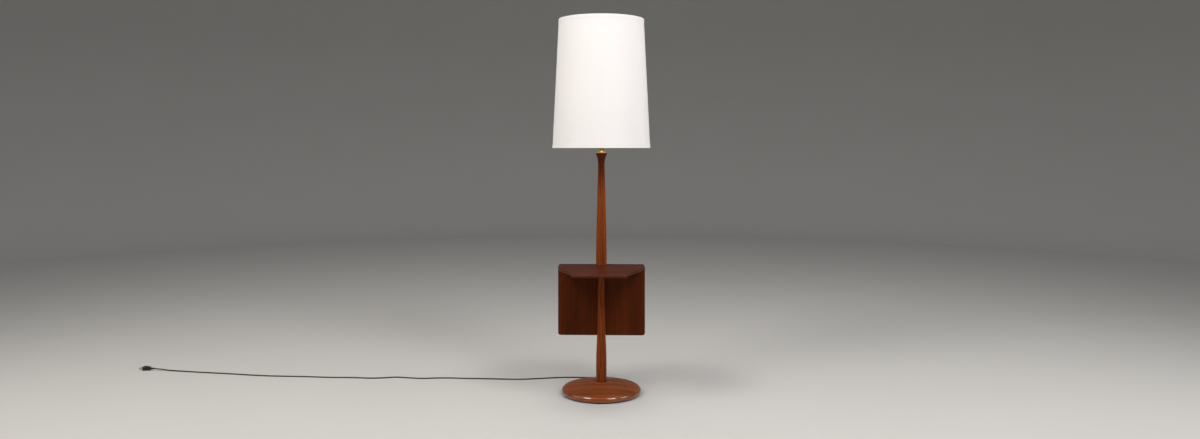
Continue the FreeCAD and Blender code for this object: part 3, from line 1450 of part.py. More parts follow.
def plug_blades():
    body = new_body("plug_blades")
    inner = "blade_spacing / 2 - blade_thickness / 2"
    outer = "blade_spacing / 2 + blade_thickness / 2"
    blade = pad(body, "blade", "XY_Plane", "-blade_width / 2", "blade_width", shape_of(
        *rectangle(("plug_length", inner), ("plug_length + blade_length", outer))))
    mirrored(body, "blades", [blade], "XZ_Plane")
    cut(body, "blade_holes", "XZ_Plane", "-blade_spacing", "blade_spacing * 2", circles(
        ("plug_length + blade_length * 0.7", "0", "blade_width / 4")))
    return at_plug(body)


# ---------------------------------------------------------------- make, check and write

def make_all():
    base_disc()
    base_weight()
    weight_screws()
    base_felt()
    base_washer()
    base_nut()
    cord_bushing()
    lower_post()
    upper_post()
    lamp_pipe()
    inner_lead()
    tray()
    rack_front()
    tray_cleats()
    cleat_screws()
    post_spacers()
    post_screws()
    rack_back()
    rack_floor()
    rack_screws()
    check_ring()
    neck_tube()
    harp_saddle()
    harp_sleeve("harp_sleeve_left", "-1")
    harp_sleeve("harp_sleeve_right", "1")
    harp_bow()
    socket_cap()
    socket_shell()
    socket_liner()
    socket_core()
    screw_shell()
    centre_contact()
    terminal_screws()
    switch_shaft()
    switch_knob()
    bulb()
    swivel_stud()
    finial()
    shade_skin()
    shade_trim("shade_top_trim", "shade_top_z", "-")
    shade_trim("shade_bottom_trim", "shade_bottom_z", "+")
    shade_top_wire()
    shade_bottom_wire()
    power_cord()
    plug_body()
    plug_blades()


def check_document():
    """Refuse a failed object, a cut that cuts nothing or a pad that adds nothing."""
    for thing in doc.Objects:
        if "Invalid" in thing.State or "Error" in thing.State:
            raise ValueError("%s is %s" % (thing.Name, thing.State))
        if thing.TypeId in ("PartDesign::Pocket", "PartDesign::Groove"):
            removed = thing.BaseFeature.Shape.Volume - thing.Shape.Volume
            if removed < 1e-3:
                raise ValueError("%s cuts nothing" % thing.Name)


def sub_parts():
    kinds = ("PartDesign::Body", "Part::Feature")
    return [thing for thing in doc.Objects if thing.TypeId in kinds]


def write_parts():
    os.makedirs("parts", exist_ok=True)
    for part in sub_parts():
        if part.Shape.isNull() or not part.Shape.isValid():
            raise ValueError("bad shape: " + part.Label)
        part.Shape.exportStep(os.path.join("parts", part.Label + ".step"))


make_all()
doc.recompute()
check_document()
write_parts()
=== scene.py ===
"""The looks of a floor lamp with a board tray and a magazine rack. Metres, +Z up.

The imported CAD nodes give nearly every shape. This script gives each of them its material,
lays the loose lead as a curve, adds the seam of the shade, the thread of the bulb and the grips
of the plug, and sets up a plain pale studio seen from the photograph's angle.
"""

import json
import math

import bmesh
import bpy
from mathutils import Matrix, Vector


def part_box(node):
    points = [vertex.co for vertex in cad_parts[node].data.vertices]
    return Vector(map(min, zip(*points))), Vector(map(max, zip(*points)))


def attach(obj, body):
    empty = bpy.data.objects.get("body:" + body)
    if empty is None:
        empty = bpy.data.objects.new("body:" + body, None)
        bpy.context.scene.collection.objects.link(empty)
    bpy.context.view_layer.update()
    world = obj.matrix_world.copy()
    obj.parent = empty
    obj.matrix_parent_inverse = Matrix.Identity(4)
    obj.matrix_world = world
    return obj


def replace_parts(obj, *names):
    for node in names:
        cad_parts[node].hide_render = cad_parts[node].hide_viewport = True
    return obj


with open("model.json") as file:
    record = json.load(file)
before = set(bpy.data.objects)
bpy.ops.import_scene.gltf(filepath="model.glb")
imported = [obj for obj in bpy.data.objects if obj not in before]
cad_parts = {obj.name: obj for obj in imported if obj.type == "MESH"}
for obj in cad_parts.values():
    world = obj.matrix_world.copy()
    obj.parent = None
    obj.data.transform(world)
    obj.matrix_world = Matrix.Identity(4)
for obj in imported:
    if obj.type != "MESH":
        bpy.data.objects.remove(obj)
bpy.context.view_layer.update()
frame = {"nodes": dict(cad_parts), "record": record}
NODES = frame["nodes"]
SLOTS = {part["node"]: part["material_slot"] for part in frame["record"]["subparts"]}
FULL_TURN = 2 * math.pi
QUARTER = math.pi / 2


# ---------------------------------------------------------------- node trees

# The sockets of a Mix node that carry colours.
MIX_AMOUNT, MIX_FIRST, MIX_SECOND, MIX_RESULT = 0, 6, 7, 2


def linear(red, green, blue):
    """A colour written as 0 to 255 screen values, in the linear values that shaders take."""
    def value(v):
        v = v / 255
        return v / 12.92 if v <= 0.04045 else ((v + 0.055) / 1.055) ** 2.4
    return (value(red), value(green), value(blue), 1.0)


def give(tree, socket, value):
    """Link what comes from another node to a socket, or set a plain value on it."""
    if isinstance(value, bpy.types.NodeSocket):
        tree.links.new(value, socket)
    else:
        socket.default_value = value


def set_inputs(tree, made, inputs):
    """Give each named input of a node its value."""
    for name, value in inputs.items():
        give(tree, made.inputs[name], value)


def node(tree, kind, inputs=None, **settings):
    """A shader node with its settings made, and its inputs set or linked."""
    made = tree.nodes.new("ShaderNode" + kind)
    for name, value in settings.items():
        setattr(made, name, value)
    set_inputs(tree, made, inputs or {})
    return made


def maths(tree, operation, *values):
    """One sum on sockets or numbers."""
    return node(tree, "Math", dict(enumerate(values)), operation=operation).outputs[0]


def plus(tree, first, second, share):
    """The first value and a share of the second."""
    return maths(tree, "ADD", first, maths(tree, "MULTIPLY", second, share))


def blend(tree, amount, first, second, mode="MIX"):
    """A mix of two colours."""
    made = node(tree, "Mix", {MIX_AMOUNT: amount, MIX_FIRST: first, MIX_SECOND: second},
                data_type="RGBA", blend_type=mode)
    return made.outputs[MIX_RESULT]


def ramp(tree, value, *stops):
    """A soft step through (place, grey) stops."""
    made = node(tree, "ValToRGB", {"Fac": value})
    band = made.color_ramp
    while len(band.elements) < len(stops):
        band.elements.new(0.5)
    for element, (place, grey) in zip(band.elements, stops):
        element.position = place
        element.color = (grey, grey, grey, 1)
    return made.outputs["Color"]


def stretched_noise(tree, vector, scale, detail=3.0, roughness=0.55):
    """Noise whose grain is scale = (x, y, z) times per metre."""
    placed = node(tree, "Mapping", {"Vector": vector, "Scale": scale}).outputs[0]
    made = node(tree, "TexNoise", {"Vector": placed, "Scale": 1.0, "Detail": detail,
                                   "Roughness": roughness})
    return made.outputs["Fac"]


def split_axes(tree, vector):
    """The X, Y and Z of a vector."""
    return node(tree, "SeparateXYZ", {0: vector}).outputs


def bump(tree, height, distance, strength=0.6):
    """The surface normal, tilted by a height that reaches distance metres."""
    inputs = {"Height": height, "Distance": distance, "Strength": strength}
    return node(tree, "Bump", inputs).outputs[0]


def new_group(name, inputs, outputs):
    """An empty shader group with named sockets: (label, kind, default)."""
    tree = bpy.data.node_groups.new(name, "ShaderNodeTree")
    kinds = {"number": "NodeSocketFloat", "colour": "NodeSocketColor", "vector": "NodeSocketVector"}
    for label, kind, default in inputs:
        socket = tree.interface.new_socket(label, in_out="INPUT", socket_type=kinds[kind])
        if default is not None:
            socket.default_value = default
    for label, kind in outputs:
        tree.interface.new_socket(label, in_out="OUTPUT", socket_type=kinds[kind])
    return tree, tree.nodes.new("NodeGroupInput").outputs, tree.nodes.new("NodeGroupOutput").inputs


def use_group(tree, group, inputs):
    """Place a group in a tree with its own values, and return its outputs."""
    made = node(tree, "Group", node_tree=group)
    set_inputs(tree, made, inputs)
    return made.outputs


# ---------------------------------------------------------------- shared effects
# Every grain is written as features per metre along X, Y and Z.

RINGS_PER_METRE = 32.0
SWAY_GRAIN = (5, 5, 1.4)
SWAY_REACH = (0.06, 0.06, 0.0)
BAND_GRAIN = (34, 34, 1.1)
FIBRE_GRAIN = (420, 420, 9)
PORE_GRAIN = (900, 900, 42)


def wood_group():
    """Oiled hardwood with the grain along Z: rings, broad bands, fibres and dark pores."""
    tree, given, out = new_group(
        "oiled_wood",
        [("Vector", "vector", None), ("Light", "colour", (0.3, 0.1, 0.04, 1)),
         ("Dark", "colour", (0.06, 0.02, 0.01, 1)), ("Rings", "number", 1.0),
         ("Gloss", "number", 0.3)],
        [("Color", "colour"), ("Roughness", "number"), ("Height", "number")])
    point = given["Vector"]
    slow = node(tree, "Mapping", {"Vector": point, "Scale": SWAY_GRAIN}).outputs[0]
    sway = node(tree, "TexNoise", {"Vector": slow, "Scale": 1.0, "Detail": 2.0}).outputs["Color"]
    bent = node(tree, "VectorMath", {0: sway, 1: SWAY_REACH}, operation="MULTIPLY").outputs[0]
    point_bent = node(tree, "VectorMath", {0: point, 1: bent}, operation="ADD").outputs[0]
    rings = node(tree, "TexWave", {
        "Vector": point_bent, "Scale": RINGS_PER_METRE, "Distortion": 2.2, "Detail": 3.0,
        "Detail Scale": 0.6, "Detail Roughness": 0.6},
        wave_type="RINGS", rings_direction="Z", wave_profile="SAW").outputs["Fac"]
    rings = ramp(tree, rings, (0.0, 0.25), (0.62, 0.55), (0.9, 1.0), (1.0, 0.3))
    bands = stretched_noise(tree, point_bent, BAND_GRAIN, 3)
    fibres = stretched_noise(tree, point, FIBRE_GRAIN, 4, 0.65)
    pores = stretched_noise(tree, point, PORE_GRAIN, 2, 0.5)
    pores = ramp(tree, pores, (0.30, 1.0), (0.40, 0.0))

    ring_share, band_share, fibre_share, pore_share = 0.42, 0.75, 0.55, 0.55
    tone = maths(tree, "MULTIPLY", maths(tree, "MULTIPLY", rings, given["Rings"]), ring_share)
    tone = plus(tree, tone, bands, band_share)
    tone = plus(tree, tone, maths(tree, "SUBTRACT", fibres, 0.5), fibre_share)
    tone = ramp(tree, tone, (0.28, 0.0), (0.85, 1.0))
    colour = blend(tree, tone, given["Dark"], given["Light"])
    pore_depth = maths(tree, "MULTIPLY", pores, pore_share)
    tree.links.new(blend(tree, pore_depth, colour, given["Dark"], mode="MULTIPLY"), out["Color"])

    rough = plus(tree, plus(tree, given["Gloss"], fibres, 0.12), pores, 0.2)
    tree.links.new(rough, out["Roughness"])
    height = maths(tree, "SUBTRACT", maths(tree, "MULTIPLY", fibres, 0.35), pores)
    tree.links.new(height, out["Height"])
    return tree


SMUDGE_GRAIN = (14, 14, 9)
SCRATCH_GRAIN = (260, 40, 60)
SCRATCH_SLANT = (0.4, 0.7, 0.2)


def handling_group():
    """Where hands and cloths have been: soft smudges and a few fine scratches."""
    tree, given, out = new_group(
        "handling",
        [("Vector", "vector", None), ("Roughness", "number", 0.3), ("Amount", "number", 0.1)],
        [("Roughness", "number"), ("Height", "number")])
    smudge = stretched_noise(tree, given["Vector"], SMUDGE_GRAIN, 5)
    smudge = ramp(tree, smudge, (0.42, 0.0), (0.68, 1.0))
    slanted = node(tree, "Mapping", {"Vector": given["Vector"], "Scale": SCRATCH_GRAIN,
                                     "Rotation": SCRATCH_SLANT}).outputs[0]
    scratch = node(tree, "TexVoronoi", {"Vector": slanted, "Scale": 1.0},
                   feature="DISTANCE_TO_EDGE").outputs["Distance"]
    scratch = ramp(tree, scratch, (0.0, 1.0), (0.02, 0.0))
    rough = plus(tree, given["Roughness"], smudge, given["Amount"])
    tree.links.new(plus(tree, rough, scratch, 0.06), out["Roughness"])
    tree.links.new(maths(tree, "MULTIPLY", scratch, -0.3), out["Height"])
    return tree


DUST_GRAIN = (23, 23, 23)
DUST_COLOUR = linear(178, 168, 155)


def dust_group():
    """A trace of pale dust that settles on what faces up."""
    tree, given, out = new_group(
        "settled_dust",
        [("Color", "colour", (0.5, 0.5, 0.5, 1)), ("Vector", "vector", None),
         ("Amount", "number", 0.05)],
        [("Color", "colour"), ("Cover", "number")])
    up = split_axes(tree, node(tree, "NewGeometry").outputs["Normal"])["Z"]
    up = ramp(tree, up, (0.55, 0.0), (0.98, 1.0))
    patch = stretched_noise(tree, given["Vector"], DUST_GRAIN, 6, 0.7)
    patch = ramp(tree, patch, (0.4, 0.15), (0.7, 1.0))
    cover = maths(tree, "MULTIPLY", maths(tree, "MULTIPLY", up, patch), given["Amount"])
    tree.links.new(blend(tree, cover, given["Color"], DUST_COLOUR), out["Color"])
    tree.links.new(cover, out["Cover"])
    return tree


WANDER_GRAIN = (60, 60, 60)
WARP_SLUB_GRAIN = (900, 900, 22)
WEFT_SLUB_GRAIN = (22, 22, 900)


def weave_group():
    """Plain-woven linen round Z: warp and weft threads of uneven weight, and slubs."""
    tree, given, out = new_group(
        "linen_weave",
        [("Vector", "vector", None), ("Radius", "number", 0.18), ("Thread", "number", 0.0011)],
        [("Height", "number"), ("Slub", "number")])
    axes = split_axes(tree, given["Vector"])
    around = maths(tree, "MULTIPLY", maths(tree, "ARCTAN2", axes["Y"], axes["X"]), given["Radius"])
    flat = node(tree, "CombineXYZ", {"X": around, "Y": 0.0, "Z": axes["Z"]}).outputs[0]
    wander = stretched_noise(tree, flat, WANDER_GRAIN, 2)
    wander = maths(tree, "MULTIPLY", maths(tree, "SUBTRACT", wander, 0.5), 1.6)
    threads = []
    for place in (around, axes["Z"]):
        phase = maths(tree, "DIVIDE", maths(tree, "MULTIPLY", place, FULL_TURN), given["Thread"])
        threads.append(maths(tree, "SINE", maths(tree, "ADD", phase, wander)))
    crossing = maths(tree, "MULTIPLY", *threads)
    slub = maths(tree, "MAXIMUM", stretched_noise(tree, flat, WARP_SLUB_GRAIN, 2),
                 stretched_noise(tree, flat, WEFT_SLUB_GRAIN, 2))
    slub = ramp(tree, slub, (0.56, 0.0), (0.78, 1.0))
    tree.links.new(plus(tree, slub, crossing, 0.5), out["Height"])
    tree.links.new(slub, out["Slub"])
    return tree


RUB_GRAIN = (38, 38, 38)
CREASE_REACH = 0.009
# Painted shade: the tint multiplied into creases that ambient occlusion finds closed in.
CREASE_SHADE_COLOUR = (0.25, 0.2, 0.17, 1)


def wear_and_shade_group():
    """Rubbed edges that are lighter and smoother, and painted shade that darkens the creases."""
    tree, given, out = new_group(
        "edges_and_creases",
        [("Color", "colour", (0.5, 0.5, 0.5, 1)), ("Worn", "colour", (0.6, 0.6, 0.6, 1)),
         ("Vector", "vector", None), ("Roughness", "number", 0.3), ("Width", "number", 0.002),
         ("Wear", "number", 0.5), ("Shade_and_grime", "number", 0.6)],
        [("Color", "colour"), ("Roughness", "number")])
    softened = node(tree, "Bevel", {"Radius": given["Width"]}, samples=6).outputs["Normal"]
    true = node(tree, "NewGeometry").outputs["Normal"]
    match = node(tree, "VectorMath", {0: softened, 1: true}, operation="DOT_PRODUCT").outputs["Value"]
    edge = ramp(tree, maths(tree, "SUBTRACT", 1.0, match), (0.015, 0.0), (0.16, 1.0))
    patch = stretched_noise(tree, given["Vector"], RUB_GRAIN, 4, 0.7)
    patch = ramp(tree, patch, (0.32, 0.1), (0.62, 1.0))
    worn = maths(tree, "MULTIPLY", maths(tree, "MULTIPLY", edge, patch), given["Wear"])
    colour = blend(tree, worn, given["Color"], given["Worn"])
    # Painted shade: ambient occlusion darkens the colour in creases, and the same mask raises the
    # roughness there.
    open_sky = node(tree, "AmbientOcclusion", {"Distance": CREASE_REACH}, samples=6).outputs["AO"]
    crease = ramp(tree, open_sky, (0.25, 1.0), (0.8, 0.0))
    shade_and_grime = maths(tree, "MULTIPLY", crease, given["Shade_and_grime"])
    tree.links.new(blend(tree, shade_and_grime, colour, CREASE_SHADE_COLOUR, mode="MULTIPLY"), out["Color"])
    rough = maths(tree, "SUBTRACT", given["Roughness"], maths(tree, "MULTIPLY", worn, 0.1))
    tree.links.new(plus(tree, rough, shade_and_grime, 0.2), out["Roughness"])
    return tree


WOOD = wood_group()
WEAR_AND_SHADE = wear_and_shade_group()
HANDLING = handling_group()
DUST = dust_group()
WEAVE = weave_group()


# ---------------------------------------------------------------- materials

def start_material(name):
    """A material with its tree, its surface shader and the piece's own coordinates."""
    made = bpy.data.materials.new(name)
    made.use_nodes = True
    tree = made.node_tree
    tree.nodes.clear()
    shader = node(tree, "BsdfPrincipled")
    end = node(tree, "OutputMaterial", {"Surface": shader.outputs[0]})
    place = node(tree, "TexCoord").outputs["Object"]
    return made, tree, shader, end, place


OIL_TINT = linear(255, 214, 180)
# Painted shade: the tint multiplied into the top of the upper post, under the lampshade.
LAMPSHADE_SHADE_TINT = (0.42, 0.36, 0.32, 1)
RUBBED_GAIN = 1.5


def wood(name, turn, shift, light, dark, gloss=0.36, rings=1.0, coat=0.0, edge_coat=0.0,
         specular=0.25, coat_rough=0.12, coat_ior=1.5, shade_above=None):
    """Oiled wood: turn brings the grain to Z, and shift gives each piece its own board.

    The coat is thin where the surface faces up and thicker on rims, which dust and wiping
    spare. Above a height, the last argument, (from, to), darkens the colour towards the top with
    painted shade, the shade that the lampshade casts on the post.
    """
    made, tree, shader, _, place = start_material(name)
    board = node(tree, "Mapping", {"Vector": place, "Rotation": turn, "Location": shift}).outputs[0]
    figure = use_group(tree, WOOD, {"Vector": board, "Light": light, "Dark": dark, "Rings": rings,
                                    "Gloss": gloss})
    touched = use_group(tree, HANDLING, {"Vector": board, "Roughness": figure["Roughness"],
                                         "Amount": 0.07})
    colour = figure["Color"]
    # Painted shade: darker towards the top, as under the lampshade.
    if shade_above:
        height = split_axes(tree, place)["Z"]
        depth = node(tree, "MapRange", {"Value": height, "From Min": shade_above[0],
                                        "From Max": shade_above[1]}).outputs[0]
        colour = blend(tree, depth, colour, LAMPSHADE_SHADE_TINT, mode="MULTIPLY")
    rubbed = tuple(min(value * RUBBED_GAIN, 1.0) for value in light[:3]) + (1.0,)
    # Painted shade darkens the creases here, next to the real rubbed wear on the edges.
    worn_and_shaded = use_group(tree, WEAR_AND_SHADE, {"Color": colour, "Worn": rubbed, "Vector": place,
                                  "Roughness": touched["Roughness"]})
    dusty = use_group(tree, DUST, {"Color": worn_and_shaded["Color"], "Vector": place, "Amount": 0.02})
    height = maths(tree, "ADD", figure["Height"], touched["Height"])
    set_inputs(tree, shader, {
        "Base Color": dusty["Color"], "Roughness": worn_and_shaded["Roughness"],
        "Normal": bump(tree, height, 0.00012), "IOR": 1.45, "Specular IOR Level": specular,
        "Specular Tint": OIL_TINT, "Coat Weight": coat, "Coat Roughness": coat_rough,
        "Coat IOR": coat_ior})
    if edge_coat:
        facing = split_axes(tree, node(tree, "TexCoord").outputs["Normal"])["Z"]
        steep = ramp(tree, facing, (0.88, 1.0), (0.965, 0.0))
        rim = maths(tree, "ADD", maths(tree, "MULTIPLY", steep, edge_coat), coat)
        set_inputs(tree, shader, {"Coat Weight": rim})
    return made


def metal(name, colour, rough=0.2, turned=0.0, amount=0.12, tarnish=None):
    """Metal with smudges; turned adds the fine rings that a lathe leaves, per metre of height."""
    made, tree, shader, _, place = start_material(name)
    touched = use_group(tree, HANDLING, {"Vector": place, "Roughness": rough, "Amount": amount})
    height = touched["Height"]
    if turned:
        height = plus(tree, height, stretched_noise(tree, place, (3, 3, turned), 3), 0.8)
    base = colour
    if tarnish:
        patch = stretched_noise(tree, place, (45, 45, 30), 6, 0.65)
        patch = ramp(tree, patch, (0.5, 0.0), (0.75, 1.0))
        base = blend(tree, maths(tree, "MULTIPLY", patch, 0.45), colour, tarnish)
    # Painted shade darkens the creases of the metal, more strongly than on wood.
    worn_and_shaded = use_group(tree, WEAR_AND_SHADE, {"Color": base, "Worn": colour, "Vector": place, "Shade_and_grime": 0.7,
                                  "Roughness": touched["Roughness"], "Width": 0.0006})
    set_inputs(tree, shader, {"Base Color": worn_and_shaded["Color"], "Metallic": 1.0,
                              "Roughness": worn_and_shaded["Roughness"], "Normal": bump(tree, height, 0.00005)})
    return made


def plastic(name, colour, rough, grain, coat=0.0):
    """Moulded plastic or enamel with smudges and a fine texture that is grain metres high."""
    made, tree, shader, _, place = start_material(name)
    touched = use_group(tree, HANDLING, {"Vector": place, "Roughness": rough, "Amount": 0.12})
    fine = stretched_noise(tree, place, (2600, 2600, 2600), 2)
    dusty = use_group(tree, DUST, {"Color": colour, "Vector": place, "Amount": 0.05})
    height = maths(tree, "ADD", fine, touched["Height"])
    set_inputs(tree, shader, {
        "Base Color": dusty["Color"], "Roughness": touched["Roughness"],
        "Normal": bump(tree, height, grain), "Coat Weight": coat, "Coat Roughness": 0.1})
    return made


def ribbed(name, colour, centre, ribs):
    """Glossy plastic with ribs along Y, spread round an axis at the height centre."""
    made, tree, shader, _, place = start_material(name)
    axes = split_axes(tree, place)
    around = maths(tree, "ARCTAN2", maths(tree, "SUBTRACT", axes["Z"], centre), axes["X"])
    rib = maths(tree, "SINE", maths(tree, "MULTIPLY", around, float(ribs)))
    touched = use_group(tree, HANDLING, {"Vector": place, "Roughness": 0.3, "Amount": 0.15})
    set_inputs(tree, shader, {"Base Color": colour, "Roughness": touched["Roughness"],
                              "Normal": bump(tree, rib, 0.0005, 0.8)})
    return made


SOILED = linear(240, 226, 205)
SLUB_COLOUR = linear(205, 196, 180)


def cloth(name, colour, radius, thread=0.0011, glow=0.14):
    """Linen on a stiff sheet: light passes through, and slubs show as faint streaks."""
    made, tree, shader, end, place = start_material(name)
    threads = use_group(tree, WEAVE, {"Vector": place, "Radius": radius, "Thread": thread})
    soil = stretched_noise(tree, place, (7, 7, 4), 5)
    base = blend(tree, maths(tree, "MULTIPLY", soil, 0.10), colour, SOILED)
    base = blend(tree, maths(tree, "MULTIPLY", threads["Slub"], 0.10), base, SLUB_COLOUR)
    set_inputs(tree, shader, {"Base Color": base, "Roughness": 0.85, "Sheen Weight": 0.05,
                              "Normal": bump(tree, threads["Height"], 0.00012, 0.5)})
    through = node(tree, "BsdfTranslucent", {"Color": base})
    mixed = node(tree, "MixShader", {0: glow, 1: shader.outputs[0], 2: through.outputs[0]})
    tree.links.new(mixed.outputs[0], end.inputs["Surface"])
    return made


def felt(name, colour):
    """Dense felt: matt, with fine paler hairs."""
    made, tree, shader, _, place = start_material(name)
    hairs = stretched_noise(tree, place, (900, 900, 900), 6, 0.75)
    base = blend(tree, hairs, colour, linear(70, 88, 66))
    set_inputs(tree, shader, {"Base Color": base, "Roughness": 0.95, "Sheen Weight": 0.4,
                              "Normal": bump(tree, hairs, 0.0006, 0.9)})
    return made


def cast_iron(name):
    """Raw grey iron from a sand mould, with rust here and there."""
    made, tree, shader, _, place = start_material(name)
    grain = stretched_noise(tree, place, (420, 420, 420), 5, 0.7)
    rust = ramp(tree, stretched_noise(tree, place, (60, 60, 60), 5, 0.7), (0.55, 0.0), (0.75, 1.0))
    base = blend(tree, maths(tree, "MULTIPLY", rust, 0.5), linear(48, 47, 46), linear(98, 62, 44))
    set_inputs(tree, shader, {"Base Color": base, "Metallic": 0.35, "Roughness": 0.7,
                              "Normal": bump(tree, grain, 0.0007, 0.8)})
    return made


BULB_GLOW = 5.0
WARM_LIGHT = (1.0, 0.78, 0.55, 1)


def frosted_glass(name):
    """Inside-frosted glass, lit: milky, with a warm glow and a soft outer shine."""
    made, tree, shader, _, place = start_material(name)
    haze = stretched_noise(tree, place, (120, 120, 120), 4)
    set_inputs(tree, shader, {
        "Base Color": linear(246, 245, 240), "Roughness": plus(tree, 0.18, haze, 0.12),
        "Transmission Weight": 0.35, "IOR": 1.45, "Subsurface Weight": 0.3,
        "Subsurface Radius": (0.01, 0.01, 0.01), "Coat Weight": 0.5,
        "Emission Color": WARM_LIGHT, "Emission Strength": BULB_GLOW})
    return made


# Turns that bring a board's grain to Z. The rear board of the rack leans back.
RACK_LEAN = math.radians(10.0)
ALONG_Z = (0.0, 0.0, 0.0)
ALONG_X = (0.0, QUARTER, 0.0)
ALONG_LEAN = (RACK_LEAN, 0.0, 0.0)

POST_LIGHT, POST_DARK = linear(165, 77, 26), linear(76, 31, 10)
BOARD_LIGHT, BOARD_DARK = linear(88, 34, 12), linear(44, 16, 6)
PANEL_LIGHT, PANEL_DARK = linear(100, 41, 13), linear(60, 24, 7)
BASE_LIGHT, BASE_DARK = linear(165, 83, 35), linear(87, 38, 13)
BRASS, BRASS_DARK = linear(252, 214, 140), linear(206, 156, 92)

SWITCH_Z = sum(corner[2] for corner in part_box("switch_knob")) / 2
SHADE_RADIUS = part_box("shade_skin")[1][0]

# The wooden pieces, each cut from its own board.
OWN_MATERIALS = {
    "lower_post": wood("wood_lower_post", ALONG_Z, (0.11, 0.05, 0.3), POST_LIGHT, POST_DARK,
                       rings=0.7),
    # The top of the upper post takes painted shade from the lampshade.
    "upper_post": wood("wood_upper_post", ALONG_Z, (0.09, -0.06, 0.9), POST_LIGHT, POST_DARK,
                       rings=0.7, shade_above=(0.80, 0.93)),
    "base_disc": wood("wood_base", ALONG_X, (0.02, 0.16, 0.1), BASE_LIGHT, BASE_DARK, gloss=0.34,
                      rings=0.6, coat=0.1, edge_coat=0.9, coat_rough=0.15, coat_ior=1.65),
    "tray": wood("wood_tray", ALONG_X, (0.4, 0.05, 0.6), BOARD_LIGHT, BOARD_DARK, gloss=0.4,
                 rings=0.7, coat=0.02, edge_coat=0.1, specular=0.15),
    "rack_front": wood("wood_front", ALONG_Z, (0.3, 0.13, 0.2), PANEL_LIGHT, PANEL_DARK,
                       gloss=0.45, rings=0.5, specular=0.15),
    "rack_back": wood("wood_back", ALONG_LEAN, (-0.25, 0.12, 0.1), PANEL_LIGHT, PANEL_DARK,
                      gloss=0.45, rings=0.5, specular=0.15),
    "rack_floor": wood("wood_rail", ALONG_X, (0.2, 0.3, 0.2), BOARD_LIGHT, BOARD_DARK,
                       gloss=0.42, rings=0.6),
}

# Every other piece takes the material of its slot in the record.
SLOT_MATERIALS = {
    "inner_wood": wood("wood_plain", ALONG_X, (0.1, 0.1, 0.1), linear(176, 124, 78),
                       linear(120, 76, 44), gloss=0.5),
    "weight_iron": cast_iron("cast_iron"),
    "felt": felt("felt", linear(40, 56, 40)),
    "zinc_steel": metal("zinc_steel", linear(186, 188, 190), rough=0.32, turned=900, amount=0.2,
                        tarnish=linear(150, 146, 120)),
    "polished_brass": metal("polished_brass", BRASS, rough=0.12, turned=1400, amount=0.1,
                            tarnish=BRASS_DARK),
    "harp_brass": metal("harp_brass", linear(214, 174, 104), rough=0.22, amount=0.15,
                        tarnish=BRASS_DARK),
    "contact_brass": metal("contact_brass", linear(206, 160, 88), rough=0.3, amount=0.2,
                           tarnish=linear(120, 84, 48)),
    "moulded_black": plastic("moulded_black", linear(26, 24, 23), rough=0.42, grain=0.0001),
    "insulating_card": plastic("insulating_card", linear(150, 122, 86), rough=0.85, grain=0.0002),
    "knob_plastic": ribbed("knob_plastic", linear(28, 24, 21), SWITCH_Z, ribs=16),
    "cord_jacket": plastic("cord_jacket", linear(52, 36, 26), rough=0.38, grain=0.00005),
    "blade_metal": metal("blade_metal", linear(206, 190, 140), rough=0.25, amount=0.2,
                         tarnish=BRASS_DARK),
    "frosted_glass": frosted_glass("frosted_glass"),
    "bulb_metal": metal("bulb_metal", linear(200, 200, 202), rough=0.3, amount=0.15),
    "shade_cloth": cloth("shade_cloth", linear(250, 247, 246), SHADE_RADIUS),
    "trim_cloth": cloth("trim_cloth", linear(250, 246, 243), SHADE_RADIUS, thread=0.0008,
                        glow=0.1),
    "frame_wire": plastic("frame_wire", linear(232, 230, 222), rough=0.3, grain=0.00002, coat=0.4),
}


def dress(shown, name, slot):
    """Give a piece its one material, its own or the one of its record slot."""
    shown.data.materials.clear()
    shown.data.materials.append(OWN_MATERIALS.get(name) or SLOT_MATERIALS[slot])


for name, cad in NODES.items():
    dress(cad, name, SLOTS[name])


# ---------------------------------------------------------------- pieces made here

def put_in_scene(name, data):
    """An object of some mesh, curve, lamp or camera data."""
    made = bpy.data.objects.new(name, data)
    bpy.context.scene.collection.objects.link(made)
    return made


def smooth_mesh(name, points, faces):
    """A mesh with smooth shading, in the row frame."""
    mesh = bpy.data.meshes.new(name)
    mesh.from_pydata(points, [], faces)
    mesh.update()
    for face in mesh.polygons:
        face.use_smooth = True
    return mesh


def add_piece(name, data, slot, body):
    """A piece of the lamp with the material of a record slot, which moves with a body."""
    data.materials.append(SLOT_MATERIALS[slot])
    piece = put_in_scene(name, data)
    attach(piece, body)
    return piece


def lathe_with_thread(name, profile, pitch, depth, span, sides=72):
    """Turn (radius, height) points about Z, with a round thread between two heights."""
    points = []
    for radius, height in profile:
        threaded = span[0] <= height <= span[1]
        for side in range(sides):
            angle = FULL_TURN * side / sides
            reach = radius
            if threaded:
                turns = (height - span[0]) / pitch - side / sides
                reach += depth * math.sin(FULL_TURN * turns) - depth
            points.append((reach * math.cos(angle), reach * math.sin(angle), height))
    faces = []
    for row in range(len(profile) - 1):
        for side in range(sides):
            after = (side + 1) % sides
            faces.append((row * sides + side, row * sides + after,
                          (row + 1) * sides + after, (row + 1) * sides + side))
    faces.append(tuple(reversed(range(sides))))
    faces.append(tuple(range((len(profile) - 1) * sides, len(profile) * sides)))
    return smooth_mesh(name, points, faces)


CAP_CONE_HEIGHT = 0.0022
CAP_CONE_SHARE = 0.94
CAP_SKIRT_HEIGHT = 0.005
CAP_SKIRT_SHARE = 0.985
CAP_STEP_DOWN = 0.0008
CAP_THREAD_PITCH = 0.0036
CAP_THREAD_DEPTH = 0.0006
CAP_THREAD_ROWS = 60


